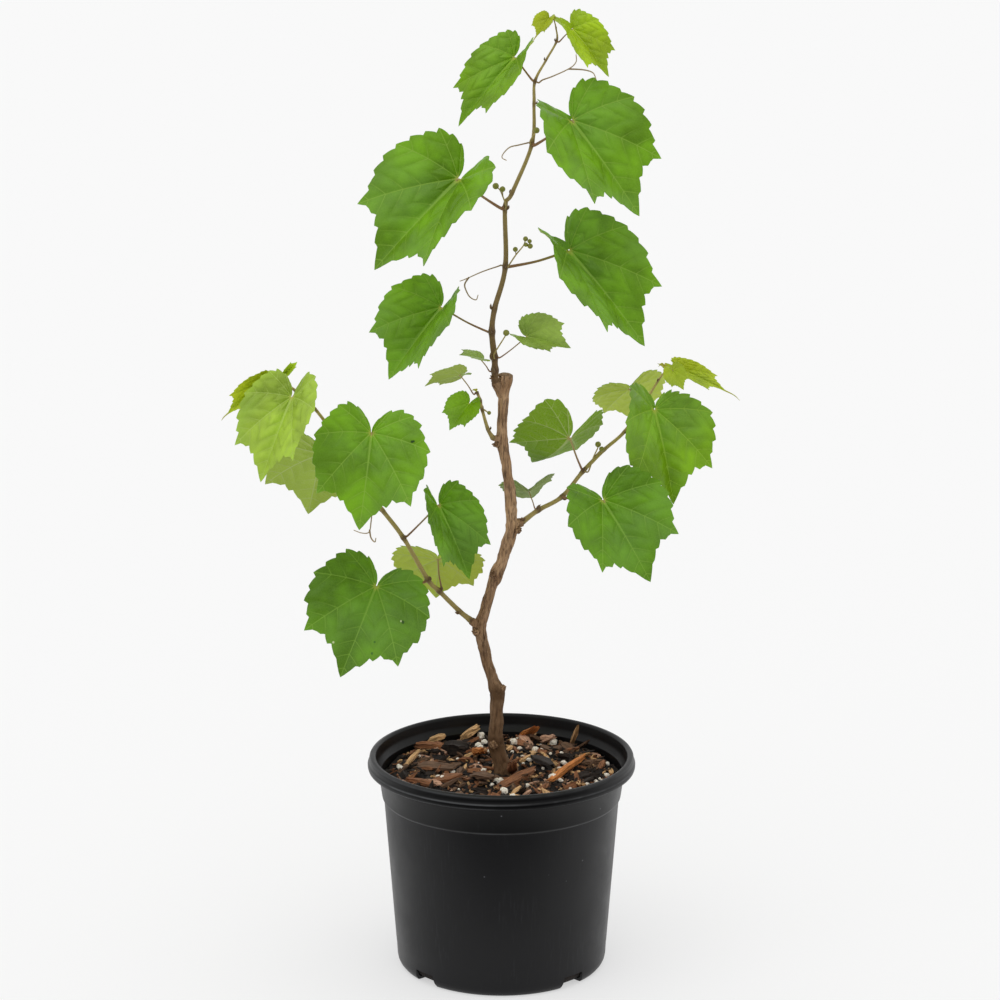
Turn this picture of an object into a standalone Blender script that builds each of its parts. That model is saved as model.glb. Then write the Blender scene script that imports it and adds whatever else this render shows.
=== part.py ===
"""A young muscadine grapevine, pruned to one trunk and three canes, growing in a round nursery pot.

Sizes are in millimetres and become metres where a mesh or a curve is made. The origin is the centre of the
pot's underside. +Z is up, +X is to the right of the plant's face, and -Y is towards whoever faces it.
"""
import math

import bmesh
import bpy
from mathutils import Vector

MM = 0.001
GAP = 0.35  # clear space where one piece sits on the next
SCENE_NAME = "muscadine_grapevine"
FRONT = Vector((0.0, -1.0, 0.25))  # the way that the plant's face looks, tipped up a little

# Pot: a moulded nursery pot with a rolled lip, a collar under it and drain notches in its foot
RIM_RADIUS = 82.5
POT_HEIGHT = 135.0
FOOT_RADIUS = 60.8
FOOT_CORNER_RADIUS = 64.6
BODY_TOP_RADIUS = 72.5
STEP_HEIGHT = 108.0
COLLAR_LOW_RADIUS = 73.7
COLLAR_TOP_RADIUS = 75.8
LIP_HEIGHT = 8.6
LIP_INNER_RADIUS = 77.3
WALL = 1.5
FLOOR = 1.8
POT_STEPS = 48
NOTCH_COUNT = 4
NOTCH_WIDTH = 21.0
NOTCH_HEIGHT = 8.0
NOTCH_DEPTH = 13.0
NOTCH_TURN = -2.0  # degrees that the notches are turned from the diagonals

# Potting mix
MIX_LEVEL = 121.0
MIX_PATCH_RADIUS = 9.0
MIX_DOME = 1.2

# Trunk, from its flat foot on the mix to its pruned stub: x, y, z and radius
TRUNK = [
    (0.8, 0.0, MIX_LEVEL + GAP, 6.0),
    (0.8, 0.0, 124.0, 5.6),
    (-0.8, 0.0, 130.5, 4.9),
    (-3.1, 0.0, 139.5, 4.7),
    (-3.3, 0.0, 144.0, 4.5),
    (-3.2, 0.0, 150.0, 4.0),
    (-2.8, 0.0, 160.0, 3.6),
    (-2.7, 1.0, 169.0, 3.8),
    (-2.9, 2.0, 174.5, 4.2),
    (-5.4, 3.0, 182.0, 3.2),
    (-7.9, 4.0, 190.0, 3.05),
    (-10.2, 5.0, 199.0, 3.2),
    (-12.0, 5.0, 208.0, 3.4),
    (-12.9, 5.0, 214.0, 3.9),
    (-11.6, 5.0, 220.0, 3.2),
    (-9.3, 4.0, 228.0, 2.95),
    (-6.2, 2.5, 240.0, 2.9),
    (-3.6, 1.8, 247.0, 3.8),
    (-2.4, 1.4, 251.0, 4.0),
    (0.4, 0.5, 258.0, 3.35),
    (3.1, 0.0, 267.0, 3.55),
    (5.8, -1.0, 275.5, 3.75),
    (6.6, -2.0, 281.0, 3.85),
    (5.9, -1.5, 287.0, 3.4),
    (4.9, 0.0, 300.0, 3.05),
    (3.0, 1.0, 316.5, 2.8),
    (0.9, 1.8, 328.0, 3.1),
    (0.1, 2.0, 333.5, 3.4),
    (0.3, 1.6, 341.0, 2.85),
    (0.8, 1.0, 350.0, 2.9),
    (1.6, 0.2, 363.0, 3.3),
    (2.6, 0.0, 373.5, 4.0),
]

# Old wood that each cane springs from, fused to the trunk: from, to and radius
BURRS = {
    "left_cane": ((-12.9, 5.0, 214.0), (-18.4, 3.6, 218.8), 2.6),
    "right_cane": ((6.6, -2.0, 281.0), (12.0, 1.4, 281.6), 2.7),
    "side_shoot": ((0.1, 2.0, 333.5), (-4.8, -2.0, 334.9), 2.1),
    "leader_cane": ((1.2, 0.4, 359.5), (-3.7, -4.2, 369.6), 2.9),
}

# Knots and pruned buds on the trunk: place and radius
KNOTS = [
    ((-4.6, -2.6, 141.5), 3.0),
    ((0.8, 0.9, 176.8), 1.9),
    ((-5.0, -0.6, 249.5), 2.4),
    ((-15.6, 1.8, 212.2), 2.3),
    ((9.8, -3.6, 278.2), 2.3),
    ((-2.8, 0.0, 330.6), 1.9),
]

# Canes: the places of their nodes, and their radius there. The first node is the cut that meets the burr.
CANES = {
    "leader_cane": [
        (None, 2.4),
        ((-3.9, -6.0, 377.7), 2.25),
        ((-4.2, -6.0, 385.5), 2.15),
        ((-5.7, -6.0, 401.0), 2.0),
        ((-4.1, -4.0, 414.5), 1.85),
        ((2.3, 2.0, 439.0), 1.7),
        ((2.1, -5.0, 475.5), 1.5),
        ((6.2, -4.0, 484.0), 1.4),
        ((18.0, 4.0, 512.0), 1.3),
        ((19.1, 0.0, 536.5), 1.2),
        ((19.6, -4.0, 550.0), 1.1),
        ((26.0, -2.0, 562.0), 1.0),
        ((32.2, 0.0, 573.0), 0.9),
        ((31.8, 1.0, 580.5), 0.7),
        ((30.6, 2.0, 585.5), 0.55),
    ],
    "left_cane": [
        (None, 1.9),
        ((-25.9, 1.0, 226.0), 1.6),
        ((-38.0, -4.0, 240.0), 1.45),
        ((-44.8, -8.0, 248.5), 1.45),
        ((-59.1, -20.0, 278.0), 1.4),
        ((-70.7, -28.0, 296.5), 1.35),
        ((-77.1, -31.0, 307.5), 1.3),
        ((-87.9, -36.0, 328.0), 1.2),
        ((-97.6, -40.0, 344.5), 1.1),
        ((-109.4, -46.0, 363.0), 1.0),
        ((-120.1, -52.0, 375.0), 0.9),
        ((-127.3, -56.0, 382.0), 0.75),
    ],
    "right_cane": [
        (None, 1.9),
        ((22.2, 8.0, 287.5), 1.5),
        ((36.9, 18.0, 293.5), 1.4),
        ((49.9, 28.0, 307.0), 1.35),
        ((62.9, 36.0, 318.5), 1.2),
        ((75.3, 43.0, 328.0), 1.1),
        ((87.1, 50.0, 343.5), 1.0),
        ((96.4, 55.0, 357.5), 0.85),
        ((101.4, 58.0, 364.0), 0.75),
    ],
    "side_shoot": [
        (None, 1.5),
        ((-8.1, -7.0, 341.5), 1.1),
        ((-11.6, -12.0, 355.0), 0.9),
        ((-12.8, -14.0, 361.0), 0.9),
        ((-14.6, -16.0, 366.5), 0.8),
    ],
}
SWELLING = 1.3  # how much thicker a cane is at a node that bears something
SWELLING_LENGTH = 1.8
HEEL = 1.5  # length of a cane that still runs its burr's way

# Leaves. Each grows from one node of its cane. The blade runs from its junction with the petiole to its tip. It
# faces the front, then is rolled about its midrib by so many degrees: a blade that hangs turns to the left, and
# one rolled by 180 shows its underside. Width is a share of what is usual, and fold is how far each half is
# folded up, in degrees.
LEAVES = [
    # name, cane, node, junction, tip, roll, width, fold
    ("leader_leaf_1", "leader_cane", 1, (-12.2, -13.0, 386.5), (-25.0, -20.0, 390.0), 71, 1.0, 12),
    ("leader_leaf_2", "leader_cane", 2, (14.5, -14.0, 400.0), (41.0, -22.0, 394.5), -37, 1.05, 38),
    ("leader_leaf_3", "leader_cane", 3, (-36.5, 14.0, 412.0), (-68.0, 4.0, 370.0), 37, 1.08, 38),
    ("leader_leaf_4", "leader_cane", 5, (41.0, 18.0, 446.0), (86.0, 8.0, 389.5), -35, 0.9, 35),
    ("leader_leaf_5", "leader_cane", 6, (-25.5, -24.0, 496.0), (-74.5, -34.0, 444.0), 31, 1.0, 32),
    ("leader_leaf_6", "leader_cane", 8, (41.5, -16.0, 529.0), (80.5, -28.0, 474.5), -27, 0.95, 28),
    ("leader_leaf_7", "leader_cane", 10, (7.4, 10.0, 562.5), (-25.5, 2.0, 523.0), 33, 0.68, 34),
    ("leader_leaf_8", "leader_cane", 12, (41.5, -6.0, 581.0), (62.5, -14.0, 554.0), -31, 0.76, 32),
    ("leader_leaf_9", "leader_cane", 14, (27.4, 1.0, 586.0), (20.2, -2.0, 576.0), 33, 1.05, 34),
    ("side_leaf_1", "side_shoot", 3, (-19.3, -20.0, 360.5), (-31.0, -26.0, 345.5), 27, 1.05, 28),
    ("side_leaf_2", "side_shoot", 4, (-24.6, -24.0, 379.0), (-45.5, -22.0, 371.5), 108, 1.0, 12),
    ("left_leaf_1", "left_cane", 2, (-38.5, 4.0, 258.5), (-40.5, 32.0, 225.5), 180, 1.1, 8),
    ("left_leaf_2", "left_cane", 3, (-75.5, -20.0, 247.5), (-96.5, -48.0, 199.0), 0, 1.07, 14),
    ("left_leaf_3", "left_cane", 4, (-37.0, -30.0, 300.5), (-19.0, -38.0, 257.0), -34, 0.88, 35),
    ("left_leaf_4", "left_cane", 7, (-76.0, -54.0, 350.5), (-83.0, -76.0, 297.5), -8, 1.03, 16),
    ("left_leaf_5", "left_cane", 8, (-107.0, -22.0, 331.0), (-117.5, 10.0, 285.0), 170, 1.08, 12),
    ("left_leaf_6", "left_cane", 10, (-122.0, -66.0, 375.0), (-139.5, -86.0, 329.0), 27, 0.86, 28),
    ("left_leaf_7", "left_cane", 11, (-139.5, -50.0, 380.0), (-160.5, -53.0, 361.5), 10, 0.6, 50),
    ("left_leaf_8", "left_cane", 11, (-126.6, -52.5, 385.0), (-119.3, -47.0, 391.5), 0, 0.55, 50),
    ("right_leaf_1", "right_cane", 1, (16.7, 27.0, 295.0), (-4.0, 15.0, 300.0), 62, 1.0, 8),
    ("right_leaf_2", "right_cane", 2, (61.5, -5.0, 297.5), (89.5, -26.0, 252.0), -23, 1.08, 24),
    ("right_leaf_3", "right_cane", 3, (41.5, 14.0, 332.5), (5.0, -12.0, 330.0), 33, 1.0, 34),
    ("right_leaf_4", "right_cane", 6, (94.0, 36.0, 344.0), (105.0, 17.0, 289.0), -27, 1.0, 28),
    ("right_leaf_5", "right_cane", 6, (79.5, 70.0, 350.0), (85.5, 102.0, 322.0), 180, 0.95, 12),
    ("right_leaf_6", "right_cane", 8, (110.0, 58.0, 365.0), (138.5, 50.0, 352.0), -22, 0.55, 55),
    ("right_leaf_7", "right_cane", 8, (104.4, 39.0, 368.0), (111.0, 32.0, 357.0), 0, 0.85, 20),
]

# Half of a blade's margin on a leaf as wide as it is long: angle off the midrib, in degrees, and distance from
# the petiole as a share of the blade's length
MARGIN = [
    (0, 1.0), (7, 0.86), (14, 0.79), (24, 0.745), (34, 0.80), (44, 0.725), (56, 0.69), (70, 0.61), (85, 0.56),
    (102, 0.50), (122, 0.44), (136, 0.37), (148, 0.30), (160, 0.21), (170, 0.115), (180, 0.015),
]
TOOTH = 0.03  # height of a tooth on the margin, as a share of the blade's length
LARGE_SECTORS = 32
SMALL_SECTORS = 20
SMALL_BLADE = 30.0
SECTOR_CROWDING = 1.15  # over 1 crowds the margin's points towards the tip
INNER_RING = 0.55
BLADE_BOW = 0.10  # how far a blade arches between its ends, as a share of its length
HALF_CURL = 0.4
FOLD_EASE = 0.5  # how much flatter a blade gets towards its tip
BLADE_THICKNESS = 0.014  # as a share of the blade's length
THINNEST_BLADE = 0.5
PETIOLE_LEAST_RADIUS = 0.35
PETIOLE_RADIUS = 0.0115  # as a share of the blade's length
PETIOLE_SAG = 0.05

# Tendrils: each has its cane, its node and the way that its arms run
TENDRIL_RADIUS = 0.45
TENDRILS = {
    "tendril_top": (
        "leader_cane", 10,
        [(24.0, -5.8, 551.0), (30.0, -8.0, 553.5), (39.5, -12.0, 558.5), (43.3, -14.0, 562.5), (43.3, -15.0, 567.0)],
        [(39.0, -11.8, 558.2), (47.5, -14.0, 558.0), (53.0, -15.0, 556.5), (55.0, -16.0, 553.0)],
    ),
    "tendril_middle": (
        "leader_cane", 8,
        [
            (14.5, 7.5, 511.8), (9.8, 12.0, 510.0), (5.0, 14.0, 508.5), (1.5, 15.5, 505.0), (0.3, 16.0, 502.0),
            (3.0, 14.5, 500.5),
        ],
        [],
    ),
    "tendril_low": (
        "leader_cane", 5,
        [(-2.0, 5.0, 438.5), (-11.5, 11.5, 434.0), (-21.0, 15.5, 429.0), (-25.0, 18.0, 427.0)],
        [
            (-19.5, 14.8, 430.0), (-22.0, 14.0, 426.0), (-21.3, 13.0, 422.5), (-18.9, 12.0, 418.5),
            (-15.3, 12.0, 416.8), (-14.0, 11.0, 420.0),
        ],
    ),
    "tendril_left": (
        "left_cane", 6,
        [
            (-76.8, -36.0, 304.5), (-76.8, -41.0, 300.0), (-77.2, -46.0, 294.5), (-78.3, -50.0, 289.3),
            (-82.3, -53.0, 289.5), (-87.0, -56.0, 292.0),
        ],
        [(-78.0, -49.3, 290.5), (-77.2, -49.0, 285.5), (-75.0, -48.0, 282.7), (-74.4, -46.0, 284.6)],
    ),
}

# Clusters of young fruit: each has its cane, its node, the way its stem runs and its fruit
STEM_RADIUS = 0.4
FRUIT_CLUSTERS = {
    "fruit_cluster_1": (
        "leader_cane", 6, [(2.6, -9.0, 477.5), (0.8, -10.5, 483.0), (-0.9, -11.5, 487.0)],
        [((-3.4, -11.0, 489.3), 1.9), ((0.6, -13.0, 487.8), 1.7)],
    ),
    "fruit_cluster_2": (
        "leader_cane", 5, [(5.0, -2.8, 441.5), (8.6, -6.0, 447.5), (13.0, -8.5, 453.5)],
        [((14.4, -9.6, 457.3), 2.0), ((8.2, -7.6, 451.0), 1.6), ((17.2, -11.2, 453.4), 1.9)],
    ),
    "fruit_cluster_3": (
        "leader_cane", 2, [(-4.5, -9.5, 388.0), (-1.5, -11.5, 393.5), (2.3, -13.0, 400.0)],
        [((2.8, -13.2, 401.8), 1.9)],
    ),
    "fruit_cluster_4": (
        "leader_cane", 8, [(17.0, 0.8, 514.5), (19.0, -1.5, 518.0)],
        [((20.6, -2.8, 521.0), 1.8)],
    ),
    "fruit_cluster_5": (
        "right_cane", 3, [(53.2, 23.6, 308.2), (56.0, 22.5, 317.0), (58.6, 22.0, 323.0)],
        [((58.8, 21.6, 325.4), 1.8), ((61.0, 21.0, 322.6), 1.6)],
    ),
    "fruit_cluster_6": (
        "side_shoot", 2, [(-9.6, -13.6, 354.6), (-8.4, -14.4, 353.9)],
        [((-7.4, -15.0, 353.5), 1.2)],
    ),
}

BLACK_PLASTIC = ("black_plastic", "26272A", 0.42)
BARK_MIX = ("bark_mix", "3B2A1E", 0.95)
OLD_BARK = ("old_bark", "7A614B", 0.85)
CANE_BARK = ("cane_bark", "7C6A35", 0.6)
LEAF_GREEN = ("leaf_green", "4E8A2A", 0.45)
YOUNG_GREEN = ("young_green", "94B426", 0.45)
TENDRIL_BROWN = ("tendril_brown", "9A7D45", 0.6)
FRUIT_GREEN = ("fruit_green", "6C8A2E", 0.5)
YOUNG_LEAVES = {
    "leader_leaf_8", "leader_leaf_9", "left_leaf_6", "left_leaf_7", "left_leaf_8", "right_leaf_6", "right_leaf_7",
}


def clear_scene():
    """Removes what the file holds."""
    for thing in list(bpy.data.objects):
        bpy.data.objects.remove(thing, do_unlink=True)


def collection(name):
    """A new collection in the scene."""
    group = bpy.data.collections.new(name)
    bpy.context.scene.collection.children.link(group)
    return group


def linear(value):
    """One channel of an sRGB colour, as linear light."""
    return value / 12.92 if value <= 0.04045 else ((value + 0.055) / 1.055) ** 2.4


def material(name, colour, roughness):
    """A finish, made once and shared by the pieces that have it."""
    found = bpy.data.materials.get(name)
    if found:
        return found
    made = bpy.data.materials.new(name)
    made.use_nodes = True
    shader = made.node_tree.nodes["Principled BSDF"]
    channels = [linear(int(colour[i:i + 2], 16) / 255) for i in (0, 2, 4)]
    shader.inputs["Base Color"].default_value = (*channels, 1.0)
    shader.inputs["Roughness"].default_value = roughness
    shader.inputs["Metallic"].default_value = 0.0
    made.diffuse_color = (*channels, 1.0)
    return made


def add_object(name, mesh, finish, group):
    """Puts a mesh in a collection as a piece of its own."""
    piece = bpy.data.objects.new(name, mesh)
    if finish:
        mesh.materials.clear()
        mesh.materials.append(material(*finish))
    group.objects.link(piece)
    return piece


def evaluated_mesh(thing):
    """A copy of an object's mesh with its modifiers applied, and its loose caps welded."""
    bpy.context.view_layer.update()
    mesh = bpy.data.meshes.new_from_object(thing.evaluated_get(bpy.context.evaluated_depsgraph_get()))
    work = bmesh.new()
    work.from_mesh(mesh)
    bmesh.ops.remove_doubles(work, verts=work.verts, dist=1e-6)
    bmesh.ops.recalc_face_normals(work, faces=work.faces)
    work.to_mesh(mesh)
    work.free()
    return mesh


def tube(name, spine, resolution):
    """A closed tube along a list of places and radii. It has 4 sides, and 2 more for each step of resolution."""
    curve = bpy.data.curves.new(name, "CURVE")
    curve.dimensions = "3D"
    curve.bevel_depth = MM
    curve.bevel_resolution = resolution
    curve.use_fill_caps = True
    spline = curve.splines.new("POLY")
    spline.points.add(len(spine) - 1)
    for point, (place, radius) in zip(spline.points, spine):
        point.co = (*(Vector(place) * MM), 1.0)
        point.radius = radius
    guide = bpy.data.objects.new(name, curve)
    bpy.context.scene.collection.objects.link(guide)
    mesh = evaluated_mesh(guide)
    mesh.transform(guide.matrix_world)
    bpy.data.objects.remove(guide, do_unlink=True)
    return mesh


def ball(place, radius, subdivisions):
    """A small faceted ball."""
    work = bmesh.new()
    bmesh.ops.create_icosphere(work, subdivisions=subdivisions, radius=radius * MM)
    bmesh.ops.translate(work, verts=work.verts, vec=Vector(place) * MM)
    mesh = bpy.data.meshes.new("ball")
    work.to_mesh(mesh)
    work.free()
    return mesh


def fuse(name, meshes, finish, group):
    """Joins closed meshes that reach into each other into one closed piece."""
    joined = collection(name + "_pieces")
    base = add_object(name + "_base", meshes[0], None, bpy.context.scene.collection)
    for number, mesh in enumerate(meshes[1:]):
        add_object(f"{name}_piece_{number}", mesh, None, joined)
    union = base.modifiers.new("Union", "BOOLEAN")
    union.operation = "UNION"
    union.operand_type = "COLLECTION"
    union.collection = joined
    union.solver = "EXACT"
    mesh = evaluated_mesh(base)
    for piece in list(joined.objects):
        bpy.data.objects.remove(piece, do_unlink=True)
    bpy.data.objects.remove(base, do_unlink=True)
    bpy.data.collections.remove(joined)
    return add_object(name, mesh, finish, group)


def turned(name, profile, finish, group):
    """A profile of (radius, height) pairs turned about the pot's axis. It runs down its outer side."""
    mesh = bpy.data.meshes.new(name)
    places = [(radius * MM, 0.0, height * MM) for radius, height in profile]
    mesh.from_pydata(places, [(i, i + 1) for i in range(len(places) - 1)], [])
    piece = add_object(name, mesh, finish, group)
    screw = piece.modifiers.new("Turn", "SCREW")
    screw.steps = POT_STEPS
    screw.render_steps = POT_STEPS
    screw.use_merge_vertices = True
    screw.merge_threshold = 0.00005
    screw.use_smooth_shade = True
    return piece


def pot(group, cutters):
    """The pot: a thin moulded shell with a rolled lip, a collar and four drain notches."""
    lip_low = POT_HEIGHT - LIP_HEIGHT
    inner_floor_radius = FOOT_RADIUS - 0.4
    profile = [
        (0.0, FLOOR),
        (inner_floor_radius, FLOOR),
        (FOOT_CORNER_RADIUS - 2.2, FLOOR + 1.6),
        (FOOT_CORNER_RADIUS - 1.0, FLOOR + 4.8),
        (BODY_TOP_RADIUS - WALL, STEP_HEIGHT - 1.0),
        (COLLAR_LOW_RADIUS - WALL, STEP_HEIGHT + 1.0),
        (COLLAR_TOP_RADIUS - WALL, lip_low - 2.2),
        (LIP_INNER_RADIUS - 0.7, lip_low + 0.4),
        (LIP_INNER_RADIUS, lip_low + 2.4),
        (LIP_INNER_RADIUS, POT_HEIGHT - 1.2),
        (LIP_INNER_RADIUS + 1.0, POT_HEIGHT - 0.2),
        (LIP_INNER_RADIUS + 2.4, POT_HEIGHT),
        (RIM_RADIUS - 1.2, POT_HEIGHT - 0.5),
        (RIM_RADIUS - 0.2, POT_HEIGHT - 1.8),
        (RIM_RADIUS, POT_HEIGHT - 3.4),
        (RIM_RADIUS - 0.3, lip_low + 0.3),
        (RIM_RADIUS - 0.9, lip_low),
        (RIM_RADIUS - 1.6, lip_low + 0.5),
        (RIM_RADIUS - 2.2, POT_HEIGHT - 3.4),
        (LIP_INNER_RADIUS + 2.0, POT_HEIGHT - 3.0),
        (LIP_INNER_RADIUS + 1.2, lip_low + 1.6),
        (COLLAR_TOP_RADIUS, lip_low - 2.6),
        (COLLAR_LOW_RADIUS, STEP_HEIGHT + 0.8),
        (BODY_TOP_RADIUS, STEP_HEIGHT - 1.0),
        (FOOT_CORNER_RADIUS + 0.35, 6.0),
        (FOOT_CORNER_RADIUS - 0.6, 2.6),
        (FOOT_CORNER_RADIUS - 2.0, 0.7),
        (FOOT_RADIUS, 0.0),
        (0.0, 0.0),
    ]
    piece = turned("pot", profile, BLACK_PLASTIC, group)
    for number in range(NOTCH_COUNT):
        cut = piece.modifiers.new("Notch", "BOOLEAN")
        cut.operation = "DIFFERENCE"
        cut.object = drain_notch(number, cutters)
    return piece


def drain_notch(number, cutters):
    """The cutter for one drain notch, narrower at its top."""
    work = bmesh.new()
    bmesh.ops.create_cube(work, size=1.0)
    size = Vector((NOTCH_DEPTH, NOTCH_WIDTH, NOTCH_HEIGHT * 2)) * MM
    bmesh.ops.scale(work, verts=work.verts, vec=size)
    top = [v for v in work.verts if v.co.z > 0]
    bmesh.ops.scale(work, verts=top, vec=(1.0, 0.7, 1.0))
    bmesh.ops.translate(work, verts=work.verts, vec=((FOOT_CORNER_RADIUS - 2.0) * MM, 0.0, 0.0))
    mesh = bpy.data.meshes.new("notch")
    work.to_mesh(mesh)
    work.free()
    cutter = add_object(f"notch_{number}", mesh, None, cutters)
    cutter.rotation_euler.z = math.tau * (number + 0.5) / NOTCH_COUNT + math.radians(NOTCH_TURN)
    cutter.hide_render = True
    cutter.display_type = "WIRE"
    return cutter


def potting_mix(group):
    """The mix that fills the pot, with a flat patch under the trunk."""
    floor = FLOOR + GAP
    profile = [
        (0.0, MIX_LEVEL),
        (MIX_PATCH_RADIUS, MIX_LEVEL),
        (MIX_PATCH_RADIUS * 2.5, MIX_LEVEL + MIX_DOME),
        (COLLAR_LOW_RADIUS * 0.8, MIX_LEVEL + MIX_DOME * 0.5),
        (COLLAR_TOP_RADIUS - WALL - 1.2, MIX_LEVEL - 0.5),
        (COLLAR_LOW_RADIUS - WALL - 0.6, STEP_HEIGHT + 1.2),
        (BODY_TOP_RADIUS - WALL - 0.6, STEP_HEIGHT - 1.2),
        (FOOT_CORNER_RADIUS - 1.5, FLOOR + 5.2),
        (FOOT_CORNER_RADIUS - 2.9, FLOOR + 2.2),
        (FOOT_RADIUS - 1.2, floor),
        (0.0, floor),
    ]
    return turned("potting_mix", profile, BARK_MIX, group)


def trunk(group):
    """The trunk with its burrs and knots, fused into one limb."""
    spine = [((x, y, z), radius) for x, y, z, radius in TRUNK]
    pieces = [tube("trunk", spine, 3)]
    for root, end, radius in BURRS.values():
        pieces.append(tube("burr", [(root, radius), (end, radius * 0.86)], 2))
    for place, radius in KNOTS:
        pieces.append(ball(place, radius, 1))
    return fuse("trunk", pieces, OLD_BARK, group)


def cane_places(cane):
    """The places of a cane's nodes, its first node set clear of its burr."""
    root, end, _ = BURRS[cane]
    way = (Vector(end) - Vector(root)).normalized()
    start = Vector(end) + way * GAP
    return [start] + [Vector(place) for place, _ in CANES[cane][1:]]


def bearing_nodes(cane):
    """The nodes of a cane that bear a leaf, a tendril or fruit."""
    nodes = {row[2] for row in LEAVES if row[1] == cane}
    for growth in (*TENDRILS.values(), *FRUIT_CLUSTERS.values()):
        if growth[0] == cane:
            nodes.add(growth[1])
    return nodes


def node_radius(cane, node):
    """A cane's radius at a node, with its swelling."""
    return CANES[cane][node][1] * (SWELLING if node in bearing_nodes(cane) else 1.0)


def cane(name, group):
    """One cane: straight runs between nodes, which swell where they bear something."""
    places = cane_places(name)
    root, end, _ = BURRS[name]
    heel = (Vector(end) - Vector(root)).normalized() * HEEL
    spine = []
    for node, place in enumerate(places):
        radius = CANES[name][node][1]
        swollen = node in bearing_nodes(name)
        if swollen:
            back = (places[node - 1] - place).normalized()
            spine.append((place + back * SWELLING_LENGTH, radius))
        spine.append((place, node_radius(name, node)))
        if node == 0:
            spine.append((place + heel, radius))
        if swollen and node < len(places) - 1:
            ahead = (places[node + 1] - place).normalized()
            spine.append((place + ahead * SWELLING_LENGTH, radius))
    return add_object(name, tube(name, spine, 2), CANE_BARK, group)


def seat(cane_name, node, towards):
    """Where a stalk starts: on the flank of its node, clear of the bark, on the side that faces its way."""
    places = cane_places(cane_name)
    place = places[node]
    ahead = places[min(node + 1, len(places) - 1)]
    tangent = (ahead - places[node - 1]).normalized()
    way = Vector(towards) - place
    way = (way - tangent * way.dot(tangent)).normalized()
    return place + way * (node_radius(cane_name, node) + GAP), way


def margin_reach(angle):
    """How far the margin lies from the petiole at an angle off the midrib."""
    for (low, near), (high, far) in zip(MARGIN, MARGIN[1:]):
        if angle <= high:
            return near + (far - near) * (angle - low) / (high - low)
    return MARGIN[-1][1]


def blade(junction, tip, roll, width, fold):
    """A leaf's blade: a disc drawn out to a toothed heart, folded on its midrib, bowed and given thickness."""
    along = (tip - junction).normalized()
    length = (tip - junction).length
    roll, fold = math.radians(roll), math.radians(fold)
    front = (FRONT - along * FRONT.dot(along)).normalized()
    up = front * math.cos(roll) + along.cross(front) * math.sin(roll)
    across = along.cross(up)
    sectors = LARGE_SECTORS if length > SMALL_BLADE else SMALL_SECTORS
    work = bmesh.new()
    bmesh.ops.create_circle(work, cap_ends=True, cap_tris=True, segments=sectors, radius=1.0)
    spokes = [e for e in work.edges if min(v.co.length for v in e.verts) < 0.5]
    bmesh.ops.subdivide_edges(work, edges=spokes, cuts=1)
    for vert in work.verts:
        ring = vert.co.length
        angle = abs(math.atan2(vert.co.x, vert.co.y))
        side = 1.0 if vert.co.x > 0 else -1.0
        step = angle / math.pi
        bearing = math.pi * step ** SECTOR_CROWDING
        reach = margin_reach(math.degrees(bearing))
        number = round(step * sectors / 2)
        if ring > 0.9 and 0 < number < sectors // 2:
            reach += TOOTH * (1.0 if number % 2 == 0 else -1.0)
        if 0.1 < ring < 0.9:
            ring = INNER_RING
        a = reach * ring * math.cos(bearing)
        b = reach * ring * math.sin(bearing) * width
        bend = fold * (1.0 + FOLD_EASE * (0.35 - a))
        height = b * math.sin(bend) * (1.0 - HALF_CURL * b) + BLADE_BOW * a * (1.0 - a)
        place = junction + length * (along * a + across * (side * b * math.cos(bend)) + up * height)
        vert.co = place * MM
    mesh = bpy.data.meshes.new("blade")
    work.to_mesh(mesh)
    work.free()
    sheet = add_object("blade_sheet", mesh, None, bpy.context.scene.collection)
    solid = sheet.modifiers.new("Thickness", "SOLIDIFY")
    solid.thickness = max(BLADE_THICKNESS * length, THINNEST_BLADE) * MM
    solid.offset = 0.0
    closed = evaluated_mesh(sheet)
    bpy.data.objects.remove(sheet, do_unlink=True)
    return closed, along, up


def leaf(row, group):
    """One leaf: its blade with its petiole sunk into it, standing on its node."""
    name, cane_name, node, junction, tip, roll, width, fold = row
    junction, tip = Vector(junction), Vector(tip)
    length = (tip - junction).length
    closed, along, up = blade(junction, tip, roll, width, fold)
    start, out = seat(cane_name, node, junction)
    radius = max(PETIOLE_RADIUS * length, PETIOLE_LEAST_RADIUS)
    reach = (junction - start).length
    middle = (start + junction) / 2 - up * (reach * PETIOLE_SAG) - Vector((0, 0, reach * PETIOLE_SAG / 2))
    spine = [
        (start, radius * 1.3),
        (start + out * min(1.5, reach * 0.2), radius * 1.15),
        (middle, radius),
        (junction - up * radius * 1.2, radius),
        (junction + along * length * 0.05, radius * 0.8),
    ]
    finish = YOUNG_GREEN if name in YOUNG_LEAVES else LEAF_GREEN
    return fuse(name, [closed, tube("petiole", spine, 1)], finish, group)


def smooth_route(points, per_span):
    """A smooth route through points, with a number of steps between each two."""
    points = [Vector(p) for p in points]
    ends = [points[0] * 2 - points[1]] + points + [points[-1] * 2 - points[-2]]
    route = []
    for a, b, c, d in zip(ends, ends[1:], ends[2:], ends[3:]):
        for step in range(per_span):
            t = step / per_span
            square = 2 * a - 5 * b + 4 * c - d
            cube = 3 * b - a - 3 * c + d
            route.append(0.5 * (2 * b + (c - a) * t + square * t ** 2 + cube * t ** 3))
    route.append(points[-1])
    return route


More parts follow.
